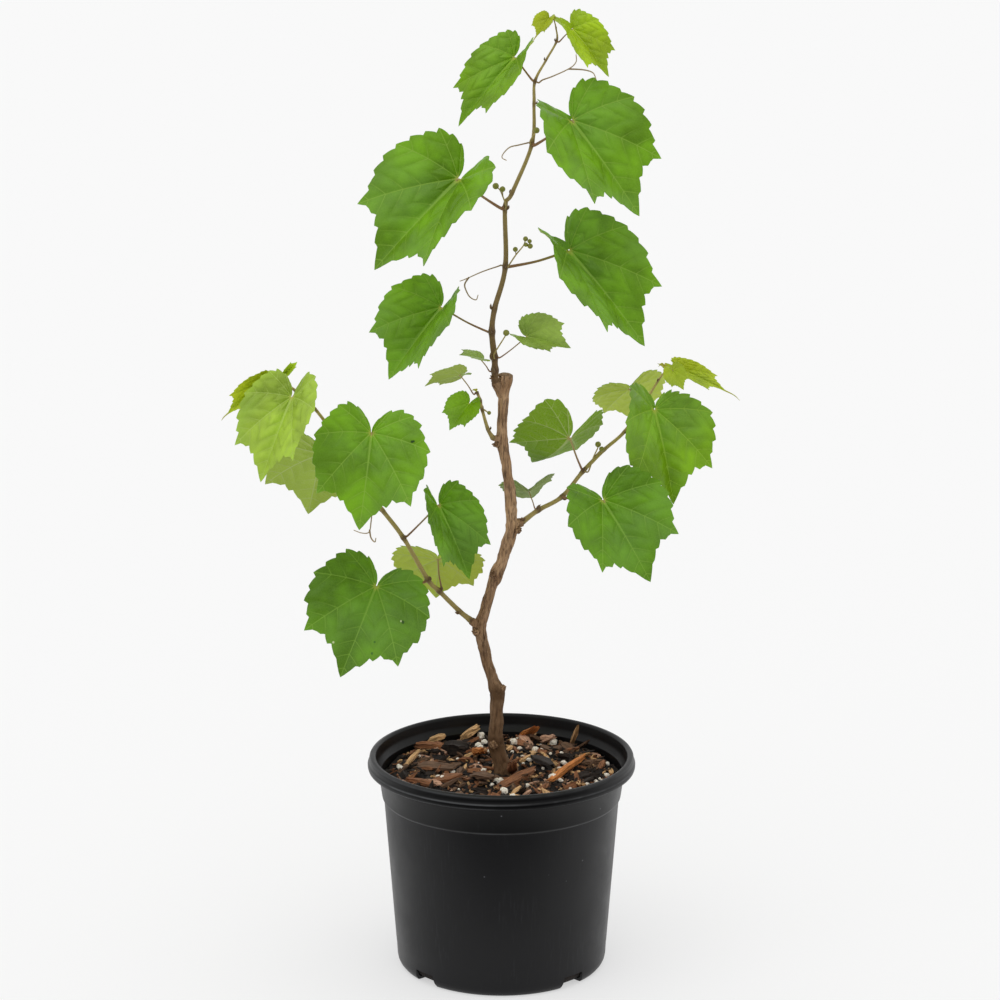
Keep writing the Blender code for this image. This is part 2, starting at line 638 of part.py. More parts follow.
def tendril(name, group):
    """A tendril: a thin stalk that forks, with both arms drawn out thin."""
    cane_name, node, stalk, fork = TENDRILS[name]
    start, out = seat(cane_name, node, stalk[0])
    arms = []
    for points in ([start, start + out * 1.5, *stalk], fork):
        if not points:
            continue
        route = smooth_route(points, 2)
        last = len(route) - 1
        thins = [(place, TENDRIL_RADIUS * (1.15 - 0.45 * i / last)) for i, place in enumerate(route)]
        arms.append(tube(name, thins, 0))
    if len(arms) == 1:
        return add_object(name, arms[0], TENDRIL_BROWN, group)
    return fuse(name, arms, TENDRIL_BROWN, group)


def fruit_cluster(name, group):
    """A few young fruit on a thin stem."""
    cane_name, node, stem, fruits = FRUIT_CLUSTERS[name]
    start, out = seat(cane_name, node, stem[0])
    spine = [(place, STEM_RADIUS) for place in [start, start + out * 0.8, *stem, fruits[0][0]]]
    pieces = [tube("stem", spine, 0)]
    for place, radius in fruits:
        pieces.append(ball(place, radius, 2))
    for joint, (place, _) in zip(stem[1:], fruits[1:]):
        pieces.append(tube("stalk", [(joint, STEM_RADIUS * 0.8), (place, STEM_RADIUS * 0.8)], 0))
    return fuse(name, pieces, FRUIT_GREEN, group)


def main():
    clear_scene()
    parts = collection(SCENE_NAME)
    cutters = collection("cutters")
    pot(parts, cutters)
    potting_mix(parts)
    trunk(parts)
    for name in CANES:
        cane(name, parts)
    for row in LEAVES:
        leaf(row, parts)
    for name in TENDRILS:
        tendril(name, parts)
    for name in FRUIT_CLUSTERS:
        fruit_cluster(name, parts)
    for piece in parts.objects:
        piece.data.shade_smooth()
        piece.data.set_sharp_from_angle(angle=math.radians(35))


main()
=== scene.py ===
import math
import random
from collections import namedtuple

import bmesh
import bpy
from mathutils import Matrix, Vector, noise


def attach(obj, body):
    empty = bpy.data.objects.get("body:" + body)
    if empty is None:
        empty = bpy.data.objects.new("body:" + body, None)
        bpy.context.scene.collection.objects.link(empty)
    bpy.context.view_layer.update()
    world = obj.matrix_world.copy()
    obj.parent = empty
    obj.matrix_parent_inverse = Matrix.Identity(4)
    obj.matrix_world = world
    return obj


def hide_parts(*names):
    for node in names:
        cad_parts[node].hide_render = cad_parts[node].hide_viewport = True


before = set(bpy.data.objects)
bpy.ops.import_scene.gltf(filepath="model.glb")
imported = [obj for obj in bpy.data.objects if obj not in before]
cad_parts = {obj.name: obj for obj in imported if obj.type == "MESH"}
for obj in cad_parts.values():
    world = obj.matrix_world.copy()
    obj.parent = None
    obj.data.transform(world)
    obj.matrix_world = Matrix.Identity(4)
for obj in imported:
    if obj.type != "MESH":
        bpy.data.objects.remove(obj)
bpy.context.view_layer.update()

MM = 0.001
FRONT = Vector((0.0, -1.0, 0.25))  # the way that the plant's face looks, tipped up a little

# Camera, at the photograph's angle
CAMERA_DISTANCE = 2000.0
CAMERA_HEIGHT = 811.0
CAMERA_PITCH = 14.44
CAMERA_LENS = 122.94
CAMERA_SHIFT = -0.0015

# Where the floor that the pot mirrors starts and ends to dim, towards the camera
DIM_FLOOR_FROM = -110.0
DIM_FLOOR_TO = -250.0

# Pot
RIM_RADIUS = 82.5
POT_HEIGHT = 135.0
FOOT_RADIUS = 60.8
FOOT_CORNER_RADIUS = 64.6
BODY_TOP_RADIUS = 72.5
STEP_HEIGHT = 108.0
COLLAR_LOW_RADIUS = 73.7
COLLAR_TOP_RADIUS = 75.8
LIP_HEIGHT = 8.6
LIP_INNER_RADIUS = 77.3
WALL = 1.5
FLOOR = 1.8
POT_STEPS = 144
NOTCH_COUNT = 4
NOTCH_WIDTH = 21.0
NOTCH_HEIGHT = 8.0
NOTCH_DEPTH = 13.0
NOTCH_TURN = -2.0
NOTCH_TOP = 0.7  # width of a notch's top, as a share of its foot's
PAINTED_EDGE_HIGHLIGHTS = [  # height, half-width and strength of the painted highlights, paler bands along the pot's edges
    (POT_HEIGHT - 1.0, 0.8, 0.14),
    (POT_HEIGHT - 5.3, 0.6, 0.26),
    (POT_HEIGHT - LIP_HEIGHT + 0.5, 0.7, 0.16),
    (STEP_HEIGHT + 0.6, 0.6, 0.22),
]

# Potting mix
MIX_LEVEL = 121.0
MIX_RADIUS = 72.8
MIX_CLEAR_OF_WALL = 0.5
MIX_AROUND = 168
MIX_ROWS = 58
SCATTER_RADIUS = 72.3  # no loose bit lies further out, so none comes through the wall
CHIP_REACH = 69.5
CRUMB_REACH = 71.0
PERLITE_REACH = 68.0
CHIP_SHORTER_PAST = 72.0  # chips that would end past this, or lie nearer the trunk than the next, are short
CHIP_SHORTER_WITHIN = 9.0
CHIP_SHORTER = 0.45
CHIP_LEAST = 3.5  # shortest scattered chip, and how much longer the longest is
CHIP_RANGE = 10.5
PERLITE_LEAST = 1.6  # smallest grain, and how much wider the widest is
PERLITE_RANGE = 3.6

# Trunk: x, y, z and radius, from its foot to its pruned stub
TRUNK = [
    (0.8, 0.0, 120.0, 6.3),
    (0.8, 0.0, 124.0, 5.6),
    (-0.8, 0.0, 130.5, 4.9),
    (-3.1, 0.0, 139.5, 4.7),
    (-3.3, 0.0, 144.0, 4.5),
    (-3.2, 0.0, 150.0, 4.0),
    (-2.8, 0.0, 160.0, 3.6),
    (-2.7, 1.0, 169.0, 3.8),
    (-2.9, 2.0, 174.5, 4.2),
    (-5.4, 3.0, 182.0, 3.2),
    (-7.9, 4.0, 190.0, 3.05),
    (-10.2, 5.0, 199.0, 3.2),
    (-12.0, 5.0, 208.0, 3.4),
    (-12.9, 5.0, 214.0, 3.9),
    (-11.6, 5.0, 220.0, 3.2),
    (-9.3, 4.0, 228.0, 2.95),
    (-6.2, 2.5, 240.0, 2.9),
    (-3.6, 1.8, 247.0, 3.8),
    (-2.4, 1.4, 251.0, 4.0),
    (0.4, 0.5, 258.0, 3.35),
    (3.1, 0.0, 267.0, 3.55),
    (5.8, -1.0, 275.5, 3.75),
    (6.6, -2.0, 281.0, 3.85),
    (5.9, -1.5, 287.0, 3.4),
    (4.9, 0.0, 300.0, 3.05),
    (3.0, 1.0, 316.5, 2.8),
    (0.9, 1.8, 328.0, 3.1),
    (0.1, 2.0, 333.5, 3.4),
    (0.3, 1.6, 341.0, 2.85),
    (0.8, 1.0, 350.0, 2.9),
    (1.6, 0.2, 363.0, 3.3),
    (2.6, 0.0, 373.5, 4.0),
]
# Burrs that the canes spring from: the start on the trunk, the end and the radius
BURRS = {
    "left_cane": ((-12.9, 5.0, 214.0), (-18.4, 3.6, 218.8), 2.6),
    "right_cane": ((6.6, -2.0, 281.0), (12.0, 1.4, 281.6), 2.7),
    "side_shoot": ((0.1, 2.0, 333.5), (-4.8, -2.0, 334.9), 2.1),
    "leader_cane": ((1.2, 0.4, 359.5), (-3.7, -4.2, 369.6), 2.9),
}
# Knots: place and radius
KNOTS = [
    ((-4.6, -2.6, 141.5), 3.0),
    ((0.8, 0.9, 176.8), 1.9),
    ((-5.0, -0.6, 249.5), 2.4),
    ((-15.6, 1.8, 212.2), 2.3),
    ((9.8, -3.6, 278.2), 2.3),
    ((-2.8, 0.0, 330.6), 1.9),
]

# Where bark is darker: below this height, more and more over this much, and round each knotted bend
DARK_FOOT = 285.0
DARK_FOOT_SPAN = 175.0
DARK_BENDS = [(172.5, 3.4, 0.55), (142.0, 4.0, 0.4)]  # height, half-width and strength
TRUNK_STEPS = 12  # rows of faces between two places of the trunk

# A pruned spur on the trunk's shoulder: places and radii
SPUR = [
    ((-2.8, 1.6, 168.5), 3.3),
    ((-1.6, 1.3, 172.5), 3.1),
    ((0.4, 1.0, 176.0), 2.2),
    ((1.5, 0.8, 178.0), 1.2),
]
# Tufts of dry bud scales: place, the way they point and how many
TUFTS = [
    ((-16.4, 0.6, 212.6), (-1.0, -0.5, 0.5), 7),
    ((-19.0, 1.4, 219.6), (-0.4, -0.6, 1.0), 4),
    ((10.6, -4.2, 279.0), (0.9, -0.5, -0.2), 6),
    ((13.0, 0.4, 283.6), (0.5, -0.4, 1.0), 5),
    ((-4.2, -1.6, 330.4), (-0.9, -0.6, -0.2), 5),
    ((-5.8, -2.6, 336.6), (-0.7, -0.5, 0.7), 6),
    ((-4.6, -4.8, 367.0), (-0.9, -0.5, 0.1), 6),
    ((-5.4, -6.6, 373.0), (-0.9, -0.6, 0.4), 4),
    ((1.9, 0.6, 177.6), (0.7, -0.2, 1.0), 3),
    ((-5.6, -2.0, 250.4), (-0.8, -0.7, 0.3), 3),
    ((-4.8, -4.6, 142.6), (-0.4, -1.0, 0.4), 3),
]

# Canes: the places of their nodes, and their radius there
CANES = {
    "leader_cane": [
        ((-3.9, -4.6, 370.4), 2.09),
        ((-3.9, -6.0, 377.7), 1.96),
        ((-4.2, -6.0, 385.5), 1.87),
        ((-5.7, -6.0, 401.0), 1.74),
        ((-4.1, -4.0, 414.5), 1.61),
        ((2.3, 2.0, 439.0), 1.48),
        ((2.1, -5.0, 475.5), 1.3),
        ((6.2, -4.0, 484.0), 1.22),
        ((18.0, 4.0, 512.0), 1.13),
        ((19.1, 0.0, 536.5), 0.96),
        ((19.6, -4.0, 550.0), 0.83),
        ((26.0, -2.0, 562.0), 0.65),
        ((32.2, 0.0, 573.0), 0.61),
        ((31.8, 1.0, 580.5), 0.39),
        ((30.6, 2.0, 585.5), 0.3),
    ],
    "left_cane": [
        ((-18.8, 3.5, 219.2), 1.79),
        ((-25.9, 1.0, 226.0), 1.5),
        ((-38.0, -4.0, 240.0), 1.36),
        ((-44.8, -8.0, 248.5), 1.36),
        ((-59.1, -20.0, 278.0), 1.32),
        ((-70.7, -28.0, 296.5), 1.27),
        ((-77.1, -31.0, 307.5), 1.22),
        ((-87.9, -36.0, 328.0), 1.13),
        ((-97.6, -40.0, 344.5), 1.03),
        ((-109.4, -46.0, 363.0), 0.94),
        ((-120.1, -52.0, 375.0), 0.75),
        ((-127.3, -56.0, 382.0), 0.56),
    ],
    "right_cane": [
        ((12.4, 1.7, 281.7), 1.77),
        ((22.2, 8.0, 287.5), 1.4),
        ((36.9, 18.0, 293.5), 1.3),
        ((49.9, 28.0, 307.0), 1.26),
        ((62.9, 36.0, 318.5), 1.12),
        ((75.3, 43.0, 328.0), 1.02),
        ((87.1, 50.0, 343.5), 0.93),
        ((96.4, 55.0, 357.5), 0.65),
        ((101.4, 58.0, 364.0), 0.47),
    ],
    "side_shoot": [
        ((-5.1, -2.3, 335.0), 1.5),
        ((-8.1, -7.0, 341.5), 1.1),
        ((-11.6, -12.0, 355.0), 0.9),
        ((-12.8, -14.0, 361.0), 0.9),
        ((-14.6, -16.0, 366.5), 0.8),
    ],
}
SWELLING = 1.3  # of a cane where something grows from it
BARE_SWELLING = 0.12  # how much it swells at its other nodes
CANE_STEPS = 14  # rows of faces between two nodes of a cane
# How green-gold a cane's bark is at its start and at its end
CANE_YOUTH = {
    "leader_cane": (0.0, 0.9),
    "left_cane": (0.6, 1.0),
    "right_cane": (0.6, 1.0),
    "side_shoot": (0.5, 1.0),
}

# Leaves. The blade runs from its junction with the petiole to its tip. It faces the front, then is rolled
# about its midrib by so many degrees. Width is a share of what is usual, and fold is how far each half is
# folded up.
Leaf = namedtuple("Leaf", "name cane node junction tip roll width fold tone")
LEAF_ROWS = [
    ("leader_leaf_1", "leader_cane", 1, (-12.2, -13.0, 386.5), (-25.0, -20.0, 390.0), 71, 1.0, 12, "shaded"),
    ("leader_leaf_2", "leader_cane", 2, (14.5, -14.0, 400.0), (41.0, -22.0, 394.5), -37, 1.05, 38, "shaded"),
    ("leader_leaf_3", "leader_cane", 3, (-36.5, 14.0, 412.0), (-68.0, 4.0, 370.0), 37, 1.08, 38, "mature"),
    ("leader_leaf_4", "leader_cane", 5, (41.0, 18.0, 446.0), (86.0, 8.0, 389.5), -35, 0.9, 35, "mature"),
    ("leader_leaf_5", "leader_cane", 6, (-25.5, -24.0, 496.0), (-74.5, -34.0, 444.0), 31, 1.0, 32, "mature"),
    ("leader_leaf_6", "leader_cane", 8, (41.5, -16.0, 529.0), (80.5, -28.0, 474.5), -27, 0.95, 28, "mature"),
    ("leader_leaf_7", "leader_cane", 10, (7.4, 10.0, 562.5), (-25.5, 2.0, 523.0), 33, 0.68, 34, "fresh"),
    ("leader_leaf_8", "leader_cane", 12, (41.5, -6.0, 581.0), (62.5, -14.0, 554.0), -31, 0.76, 32, "young"),
    ("leader_leaf_9", "leader_cane", 14, (27.4, 1.0, 586.0), (20.2, -2.0, 576.0), 33, 1.05, 34, "newest"),
    ("side_leaf_1", "side_shoot", 3, (-19.3, -20.0, 360.5), (-31.0, -26.0, 345.5), 27, 1.05, 28, "fresh"),
    ("side_leaf_2", "side_shoot", 4, (-24.6, -24.0, 379.0), (-45.5, -22.0, 371.5), 108, 1.0, 12, "shaded"),
    ("left_leaf_1", "left_cane", 2, (-38.5, 4.0, 258.5), (-40.5, 32.0, 225.5), 180, 1.1, 8, "fresh"),
    ("left_leaf_2", "left_cane", 3, (-75.5, -20.0, 247.5), (-96.5, -48.0, 199.0), 0, 1.07, 14, "deep"),
    ("left_leaf_3", "left_cane", 4, (-37.0, -30.0, 300.5), (-19.0, -38.0, 257.0), -34, 0.88, 35, "deep"),
    ("left_leaf_4", "left_cane", 7, (-76.0, -54.0, 350.5), (-83.0, -76.0, 297.5), -8, 1.03, 16, "mature"),
    ("left_leaf_5", "left_cane", 8, (-107.0, -22.0, 331.0), (-117.5, 10.0, 285.0), 170, 1.08, 12, "mature"),
    ("left_leaf_6", "left_cane", 10, (-122.0, -66.0, 375.0), (-139.5, -86.0, 329.0), 27, 0.86, 28, "light"),
    ("left_leaf_7", "left_cane", 11, (-139.5, -50.0, 380.0), (-160.5, -53.0, 361.5), 10, 0.6, 50, "newest"),
    ("left_leaf_8", "left_cane", 11, (-126.6, -52.5, 385.0), (-119.3, -47.0, 391.5), 0, 0.55, 50, "young"),
    ("right_leaf_1", "right_cane", 1, (16.7, 27.0, 295.0), (19.0, 56.5, 283.0), -167, 1.06, 26, "dim"),
    ("right_leaf_2", "right_cane", 2, (61.5, -5.0, 297.5), (89.5, -26.0, 252.0), -23, 1.08, 24, "deep"),
    ("right_leaf_3", "right_cane", 3, (41.5, 14.0, 332.5), (19.0, 54.5, 306.5), 124, 1.0, 30, "glowing"),
    ("right_leaf_4", "right_cane", 6, (94.0, 36.0, 344.0), (105.0, 17.0, 289.0), -27, 1.0, 28, "fresh"),
    ("right_leaf_5", "right_cane", 6, (79.5, 70.0, 350.0), (85.5, 102.0, 322.0), 180, 0.95, 12, "fresh"),
    ("right_leaf_6", "right_cane", 8, (110.0, 58.0, 365.0), (138.5, 50.0, 352.0), -34, 0.42, 24, "newest"),
    ("right_leaf_7", "right_cane", 8, (104.4, 39.0, 368.0), (111.0, 32.0, 357.0), 0, 0.85, 20, "newest"),
]
LEAVES = [Leaf(*row) for row in LEAF_ROWS]
BLADE_GROUPS = {
    "lower_leader_blades": ["leader_leaf_1", "leader_leaf_2", "leader_leaf_3", "leader_leaf_4", "side_leaf_1",
                            "side_leaf_2"],
    "upper_leader_blades": ["leader_leaf_5", "leader_leaf_6", "leader_leaf_7"],
    "left_blades": ["left_leaf_%d" % n for n in range(1, 6)],
    "right_blades": ["right_leaf_%d" % n for n in range(1, 6)],
    "young_blades": ["leader_leaf_8", "leader_leaf_9", "left_leaf_6", "left_leaf_7", "left_leaf_8",
                     "right_leaf_6", "right_leaf_7"],
}

# Half of a blade's margin: bearing off the midrib, in degrees, and distance from the petiole as a share of
# the blade's length
MARGIN = [
    (0, 1.0), (4, 0.92), (9, 0.83), (16, 0.765), (24, 0.735), (29, 0.765), (34, 0.83), (39, 0.765),
    (46, 0.72), (56, 0.69), (66, 0.645), (78, 0.60), (91, 0.535), (105, 0.49), (122, 0.44), (136, 0.365),
    (148, 0.28), (160, 0.17), (170, 0.085), (180, 0.015),
]
TOOTH_BEARINGS = [0, 9.5, 17.5, 25.5, 34, 43.5, 54, 65.5, 78, 91, 105, 119, 133, 147, 161, 180]
TOOTH_STEPS = (0.0, 0.2, 0.4, 0.56, 0.7, 0.85)
TOOTH_LEAN = 0.7  # share of a tooth that its long outer side takes
TOOTH = 0.036  # height of a tooth, as a share of the blade's length
TOOTH_MIDDLE = 0.45  # share of a tooth that lies inside the smooth margin
SET_TEETH = {0: 0.5, 4: 1.05, -1: 0.0, -2: 0.4}  # heights that don't vary: at the tip, side lobes and notch
VEIN_BEARINGS = [0, 34, 78, 119, 147]
NOTCH_LEAN = 9.0  # degrees that the notch between the base lobes leans to the outer half of a rolled blade
NOTCH_LEAN_ROLLS = (20.0, 40.0)  # for blades rolled by this much
NOTCH_LEAN_FROM = 70.0  # bearing where the margin starts to lean with its notch, and over how many degrees
NOTCH_LEAN_OVER = 90.0
VEIN_SWEEP = 8.0  # degrees that veins bend forward on their way out
BLADE_ROWS = 38
SMALL_BLADE_ROWS = 20
SMALL_BLADE = 30.0  # millimetres
ROW_CROWDING = 0.9  # under 1, so rows lie a little closer together towards the margin
# Blades, in shares of their length
BLADE_BOW = 0.10  # how far the midrib bows up at its middle
HALF_CURL = 0.4  # how much each half curls back towards its margin
FOLD_EASE = 0.5  # how much more a blade is folded at its base than at its tip
CREASE = 0.018  # half-width of the round at the bottom of the fold
VEIN_GROOVE = 0.010  # how deep a main vein is sunk
VEIN_HALF_WIDTH = 0.016
VEIN_VALLEY = 0.016  # how deep the wider valley round it is
VALLEY_HALF_WIDTH = 0.07
BLISTER = 0.014  # height of the blisters between side veins
YOUNG_BLISTER = 1.4  # how much deeper young blades are creased
SIDE_VEIN_PITCH = 0.15  # between side veins, along the vein that they leave
SIDE_VEIN_SLANT = 0.7  # how far forward a side vein runs for each step outwards
SIDE_VEIN_CURVE = 0.8  # how much more forward it runs further out
SIDE_VEIN_FADE = 0.05  # how far off a main vein the blisters have their full height
MAIN_VEIN_WIDE = 0.0085  # half-width of a main vein's colour, at the hub and at the margin
MAIN_VEIN_NARROW = 0.003
RUNG_PITCH = 0.032  # between the finest veins, which cross from one side vein to the next
BLADE_BOWS = {"right_leaf_3": -0.24, "right_leaf_1": 0.06}  # where a blade bows unlike the rest
# A base lobe that stands up, or that is longer or shorter than usual: its side, degrees and share
BASE_LOBES = {
    "right_leaf_3": (-1, -4, 0.33),
    "right_leaf_1": (-1, 25, 0.17),
    "right_leaf_4": (-1, 0, -0.32),
}
LOBE_GROWS_FROM = 80.0  # bearing where a lobe starts to be longer or shorter, and over how many degrees
LOBE_GROWS_OVER = 40.0
LOBE_CURLS_FROM = 0.15  # share of length where a lobe starts to stand up, and over how much
LOBE_CURLS_OVER = 0.45
RUFFLE = 0.024  # height of the waves along the margin
BLADE_THICKNESS = 0.0055
THINNEST_BLADE = 0.25  # millimetres
PETIOLE_RADIUS = 0.0105
PETIOLE_LEAST_RADIUS = 0.35  # millimetres
PETIOLE_SAG = 0.05  # share of the petiole's own length
PETIOLE_OVERLAP = 0.04  # how far a petiole runs on under its blade

# How a blade's flat outline is laid out in its cell: its reach to the left and below, its size, the edge
# that stays free, and how far out the cut edge goes
CHART_LEFT = 0.78
CHART_LOW = 0.46
CHART_SIZE = 1.56
CELL_EDGE = 0.02
CELL_SPAN = 0.96
CUT_EDGE_OUT = 1.03

# Curled buds at the ends of the canes: place, the way they point, how many and how long
SHOOT_TIPS = [
    ((31.0, 2.0, 585.6), (-0.2, -0.3, 1.0), 4, 4.0),
    ((101.0, 57.0, 365.0), (-0.5, -0.4, 0.8), 7, 6.0),
    ((-127.3, -56.0, 382.5), (-0.6, -0.3, 0.8), 3, 4.0),
    ((-15.0, -16.4, 367.4), (-0.5, -0.4, 0.8), 3, 3.0),
]
# Drawn-out tips of young blades, in millimetres
BLADE_TAILS = {"right_leaf_6": 10.0, "left_leaf_7": 5.0, "leader_leaf_9": 3.5}
TENDRIL_RADIUS = 0.42
# Tendrils: cane, node, the places of the stalk and those of its fork
TENDRILS = {
    "tendril_top": (
        "leader_cane", 10,
        [
            (24.0, -5.8, 551.0), (30.0, -8.0, 553.5), (39.5, -12.0, 558.5), (43.3, -14.0, 562.5),
            (43.3, -15.0, 567.0),
        ],
        [(39.0, -11.8, 558.2), (47.5, -14.0, 558.0), (53.0, -15.0, 556.5), (55.0, -16.0, 553.0)],
    ),
    "tendril_middle": (
        "leader_cane", 8,
        [
            (14.5, 7.5, 511.8), (9.8, 12.0, 510.0), (5.0, 14.0, 508.5), (1.5, 15.5, 505.0),
            (0.3, 16.0, 502.0), (3.0, 14.5, 500.5),
        ],
        [],
    ),
    "tendril_low": (
        "leader_cane", 5,
        [(-2.0, 5.0, 438.5), (-11.5, 11.5, 434.0), (-21.0, 15.5, 429.0), (-25.0, 18.0, 427.0)],
        [
            (-19.5, 14.8, 430.0), (-22.0, 14.0, 426.0), (-21.3, 13.0, 422.5), (-18.9, 12.0, 418.5),
            (-15.3, 12.0, 416.8), (-14.0, 11.0, 420.0),
        ],
    ),
    "tendril_left": (
        "left_cane", 6,
        [
            (-76.8, -36.0, 304.5), (-76.8, -41.0, 300.0), (-77.2, -46.0, 294.5), (-78.3, -50.0, 289.3),
            (-82.3, -53.0, 289.5), (-87.0, -56.0, 292.0),
        ],
        [(-78.0, -49.3, 290.5), (-77.2, -49.0, 285.5), (-75.0, -48.0, 282.7), (-74.4, -46.0, 284.6)],
    ),
}

STEM_RADIUS = 0.4
# Fruit: cane, node, the places of the stem, and the place and radius of each fruit
FRUIT_CLUSTERS = {
    "fruit_cluster_1": (
        "leader_cane", 6, [(2.6, -9.0, 477.5), (0.8, -10.5, 483.0), (-0.9, -11.5, 487.0)],
        [((-3.4, -11.0, 489.3), 1.9), ((0.6, -13.0, 487.8), 1.7)],
    ),
    "fruit_cluster_2": (
        "leader_cane", 5, [(5.0, -2.8, 441.5), (8.6, -6.0, 447.5), (13.0, -8.5, 453.5)],
        [
            ((14.2, -9.4, 457.6), 1.5), ((8.2, -7.6, 451.0), 1.5), ((16.9, -11.2, 453.6), 1.6),
            ((16.6, -10.6, 456.4), 1.3), ((14.4, -10.8, 454.4), 1.3),
        ],
    ),
    "fruit_cluster_3": (
        "leader_cane", 2, [(-4.5, -9.5, 388.0), (-1.5, -11.5, 393.5), (2.3, -13.0, 400.0)],
        [((2.8, -13.2, 401.8), 1.9)],
    ),
    "fruit_cluster_4": (
        "leader_cane", 8, [(17.0, 0.8, 514.5), (19.0, -1.5, 518.0)],
        [((20.6, -2.8, 521.0), 1.8)],
    ),
    "fruit_cluster_5": (
        "right_cane", 3, [(53.2, 23.6, 308.2), (56.0, 22.5, 317.0), (58.6, 22.0, 323.0)],
        [((58.8, 21.6, 325.4), 1.8), ((61.0, 21.0, 322.6), 1.6)],
    ),
    "fruit_cluster_6": (
        "side_shoot", 2, [(-9.6, -13.6, 354.6), (-8.4, -14.4, 353.9)],
        [((-7.4, -15.0, 353.5), 1.2)],
    ),
}

# Bark chips that the photograph shows: x, y, length, width, thickness, heading, tilt and tone
SHOWN_CHIPS = [
    (-20.2, 64.0, 13.0, 10.0, 4.0, 0, 38, "tan"),
    (17.5, 62.0, 15.0, 10.0, 2.2, -50, 40, "orange"),
    (40.3, -2.8, 44.0, 5.0, 3.4, 62, 3, "orange"),
    (-42.9, 6.0, 30.0, 9.0, 3.0, -28, 6, "brown"),
    (-33.9, -17.9, 19.0, 8.0, 2.6, 22, 8, "rust"),
    (6.5, -9.0, 20.0, 6.0, 3.4, -86, 34, "rust"),
    (9.0, -21.0, 34.0, 6.5, 3.0, 50, 6, "rust"),
    (25.4, 9.0, 32.0, 7.5, 3.0, -70, 8, "umber"),
    (-29.0, 39.0, 15.0, 12.0, 7.0, -20, 5, "umber"),
    (-45.0, 44.0, 19.0, 6.0, 5.0, -18, 0, "rust"),
    (-12.0, -21.0, 20.0, 8.0, 3.2, -51, 12, "brown"),
    (-41.0, 56.0, 11.0, 7.0, 3.5, -15, 20, "tan"),
    (46.0, 47.0, 24.0, 3.0, 1.6, -76, 48, "tan"),
    (51.0, 41.0, 18.0, 2.6, 1.4, -60, 34, "brown"),
    (56.0, 14.0, 12.0, 4.0, 2.4, 10, 6, "brown"),
    (29.0, 60.0, 11.0, 9.0, 4.0, -40, 22, "pink"),
    (-56.0, 14.0, 22.0, 3.0, 2.0, 66, 12, "tan"),
    (-50.0, -24.0, 20.0, 6.0, 3.0, -42, 6, "rust"),
    (-14.5, 26.0, 17.0, 7.0, 4.0, -80, 24, "orange"),
]
CHIP_TONES = {
    "orange": "CC7F3C",
    "rust": "8F5E3C",
    "brown": "6E523C",
    "tan": "D8AC78",
    "umber": "281D15",
    "pink": "C89C80",
}
SCATTERED_TONES = ["umber", "umber", "umber", "brown", "brown", "rust", "rust", "rust", "tan", "pink"]
CHIP_COUNT = 500
CRUMB_COUNT = 1400
PERLITE_COUNT = 80

# Marks on single blades, by the blade's tone: across, up, size and colour
BLADE_MARKS = {
    "deep": [(-59.1, 229.4, 1.1, "2C4A16"), (-60.3, 229.9, 0.6, "C4CCA0"), (-100.6, 219.1, 0.75, "D0D8A8"),
             (-77.5, 212.5, 0.9, "3C6A1E"), (-76.0, 218.5, 0.8, "3C6A1E")],
    "mature": [(-52.3, 346.2, 1.0, "24401A"), (-51.3, 346.5, 0.8, "24401A")],
}
# Upper and under side of the leaves of each tone, and their veins. The under sides are paler partly as
# painted light that shines through the blade, and glowing's under side is a saturated green for the same
# painted light. Painted shade: deep and dim are darker, for blades that lie in shade; shaded is greyer, as
# painted shade, and paler, as painted sheen.
LEAF_TONES = {
    "deep": ("598709", "A0B44C", "84AC3C"),
    "mature": ("67970A", "9EB842", "8EB442"),
    "shaded": ("849F3E", "A2B650", "9CB25C"),
    "fresh": ("709D06", "BED24E", "94B83C"),
    "glowing": ("6D9608", "7CA414", "88A838"),
    "dim": ("5F7F25", "80964A", "94A860"),
    "light": ("99B838", "ABC055", "B4CC68"),
    "young": ("99B808", "AFC24A", "B4CC48"),
    "newest": ("A3B414", "BAC648", "BECB4A"),
}

# Patterns too fine to model, by how often they repeat in a metre
POT_GRAIN = 3000.0  # moulded grain, 0.3 mm
POT_CLOUDS = 28.0  # patches of wear, 36 mm
POT_STREAKS = (900.0, 900.0, 24.0)  # upright scuffs, 1.1 mm wide and 42 mm long
POT_SPECKS = 100.0  # one speck of dust in 10 mm at most
PEAT_LUMPS = 420.0  # 2.4 mm
CHIP_GRAIN = (0.12, 1.1, 1.0)  # in a millimetre: fibres 0.9 mm wide and 8 mm long
PERLITE_PITS = 1400.0  # 0.7 mm
BARK_FIBRES = 700.0  # 1.4 mm wide, and longer up the trunk by the next
BARK_STRETCH = (1.0, 1.0, 0.12)
BARK_PATCHES = 70.0  # 14 mm
WOOD_RAYS = 1500.0  # 0.7 mm
CANE_FLECKS = 500.0  # 2 mm
SHOOT_DOWN = 600.0  # 1.7 mm
FRUIT_DOTS = 1500.0  # 0.7 mm
LEAF_PATCHES = 46.0  # mottling, 22 mm
LEAF_SHEEN_PATCHES = 24.0  # patches of painted sheen, 42 mm
LEAF_CELLS = 720.0  # the finest net of veins, 1.4 mm
LEAF_SPECKS = 52.0  # one brown speck in 19 mm at most
UNDER_PATCHES = 70.0  # 14 mm
UNDER_CELLS = 640.0  # 1.6 mm
BLEND = {"data_type": "RGBA", "output": 2}  # what makes a node blend two colours

FLOOR_GLOW = 0.51
SUNS = [("key", 0.9, 70.0, 40.0, -24.0), ("fill", 0.3, 90.0, 50.0, 50.0)]  # strength, spread, tip and turn


def channel(value):
    """One channel of an sRGB colour, as linear light."""
    return value / 12.92 if value <= 0.04045 else ((value + 0.055) / 1.055) ** 2.4


def colour(code):
    """An sRGB hex colour, as linear light."""
    return (*(channel(int(code[i:i + 2], 16) / 255) for i in (0, 2, 4)), 1.0)


def toned(base, factor):
    """A colour made darker or lighter."""
    return (*(min(1.0, factor * part) for part in base[:3]), 1.0)


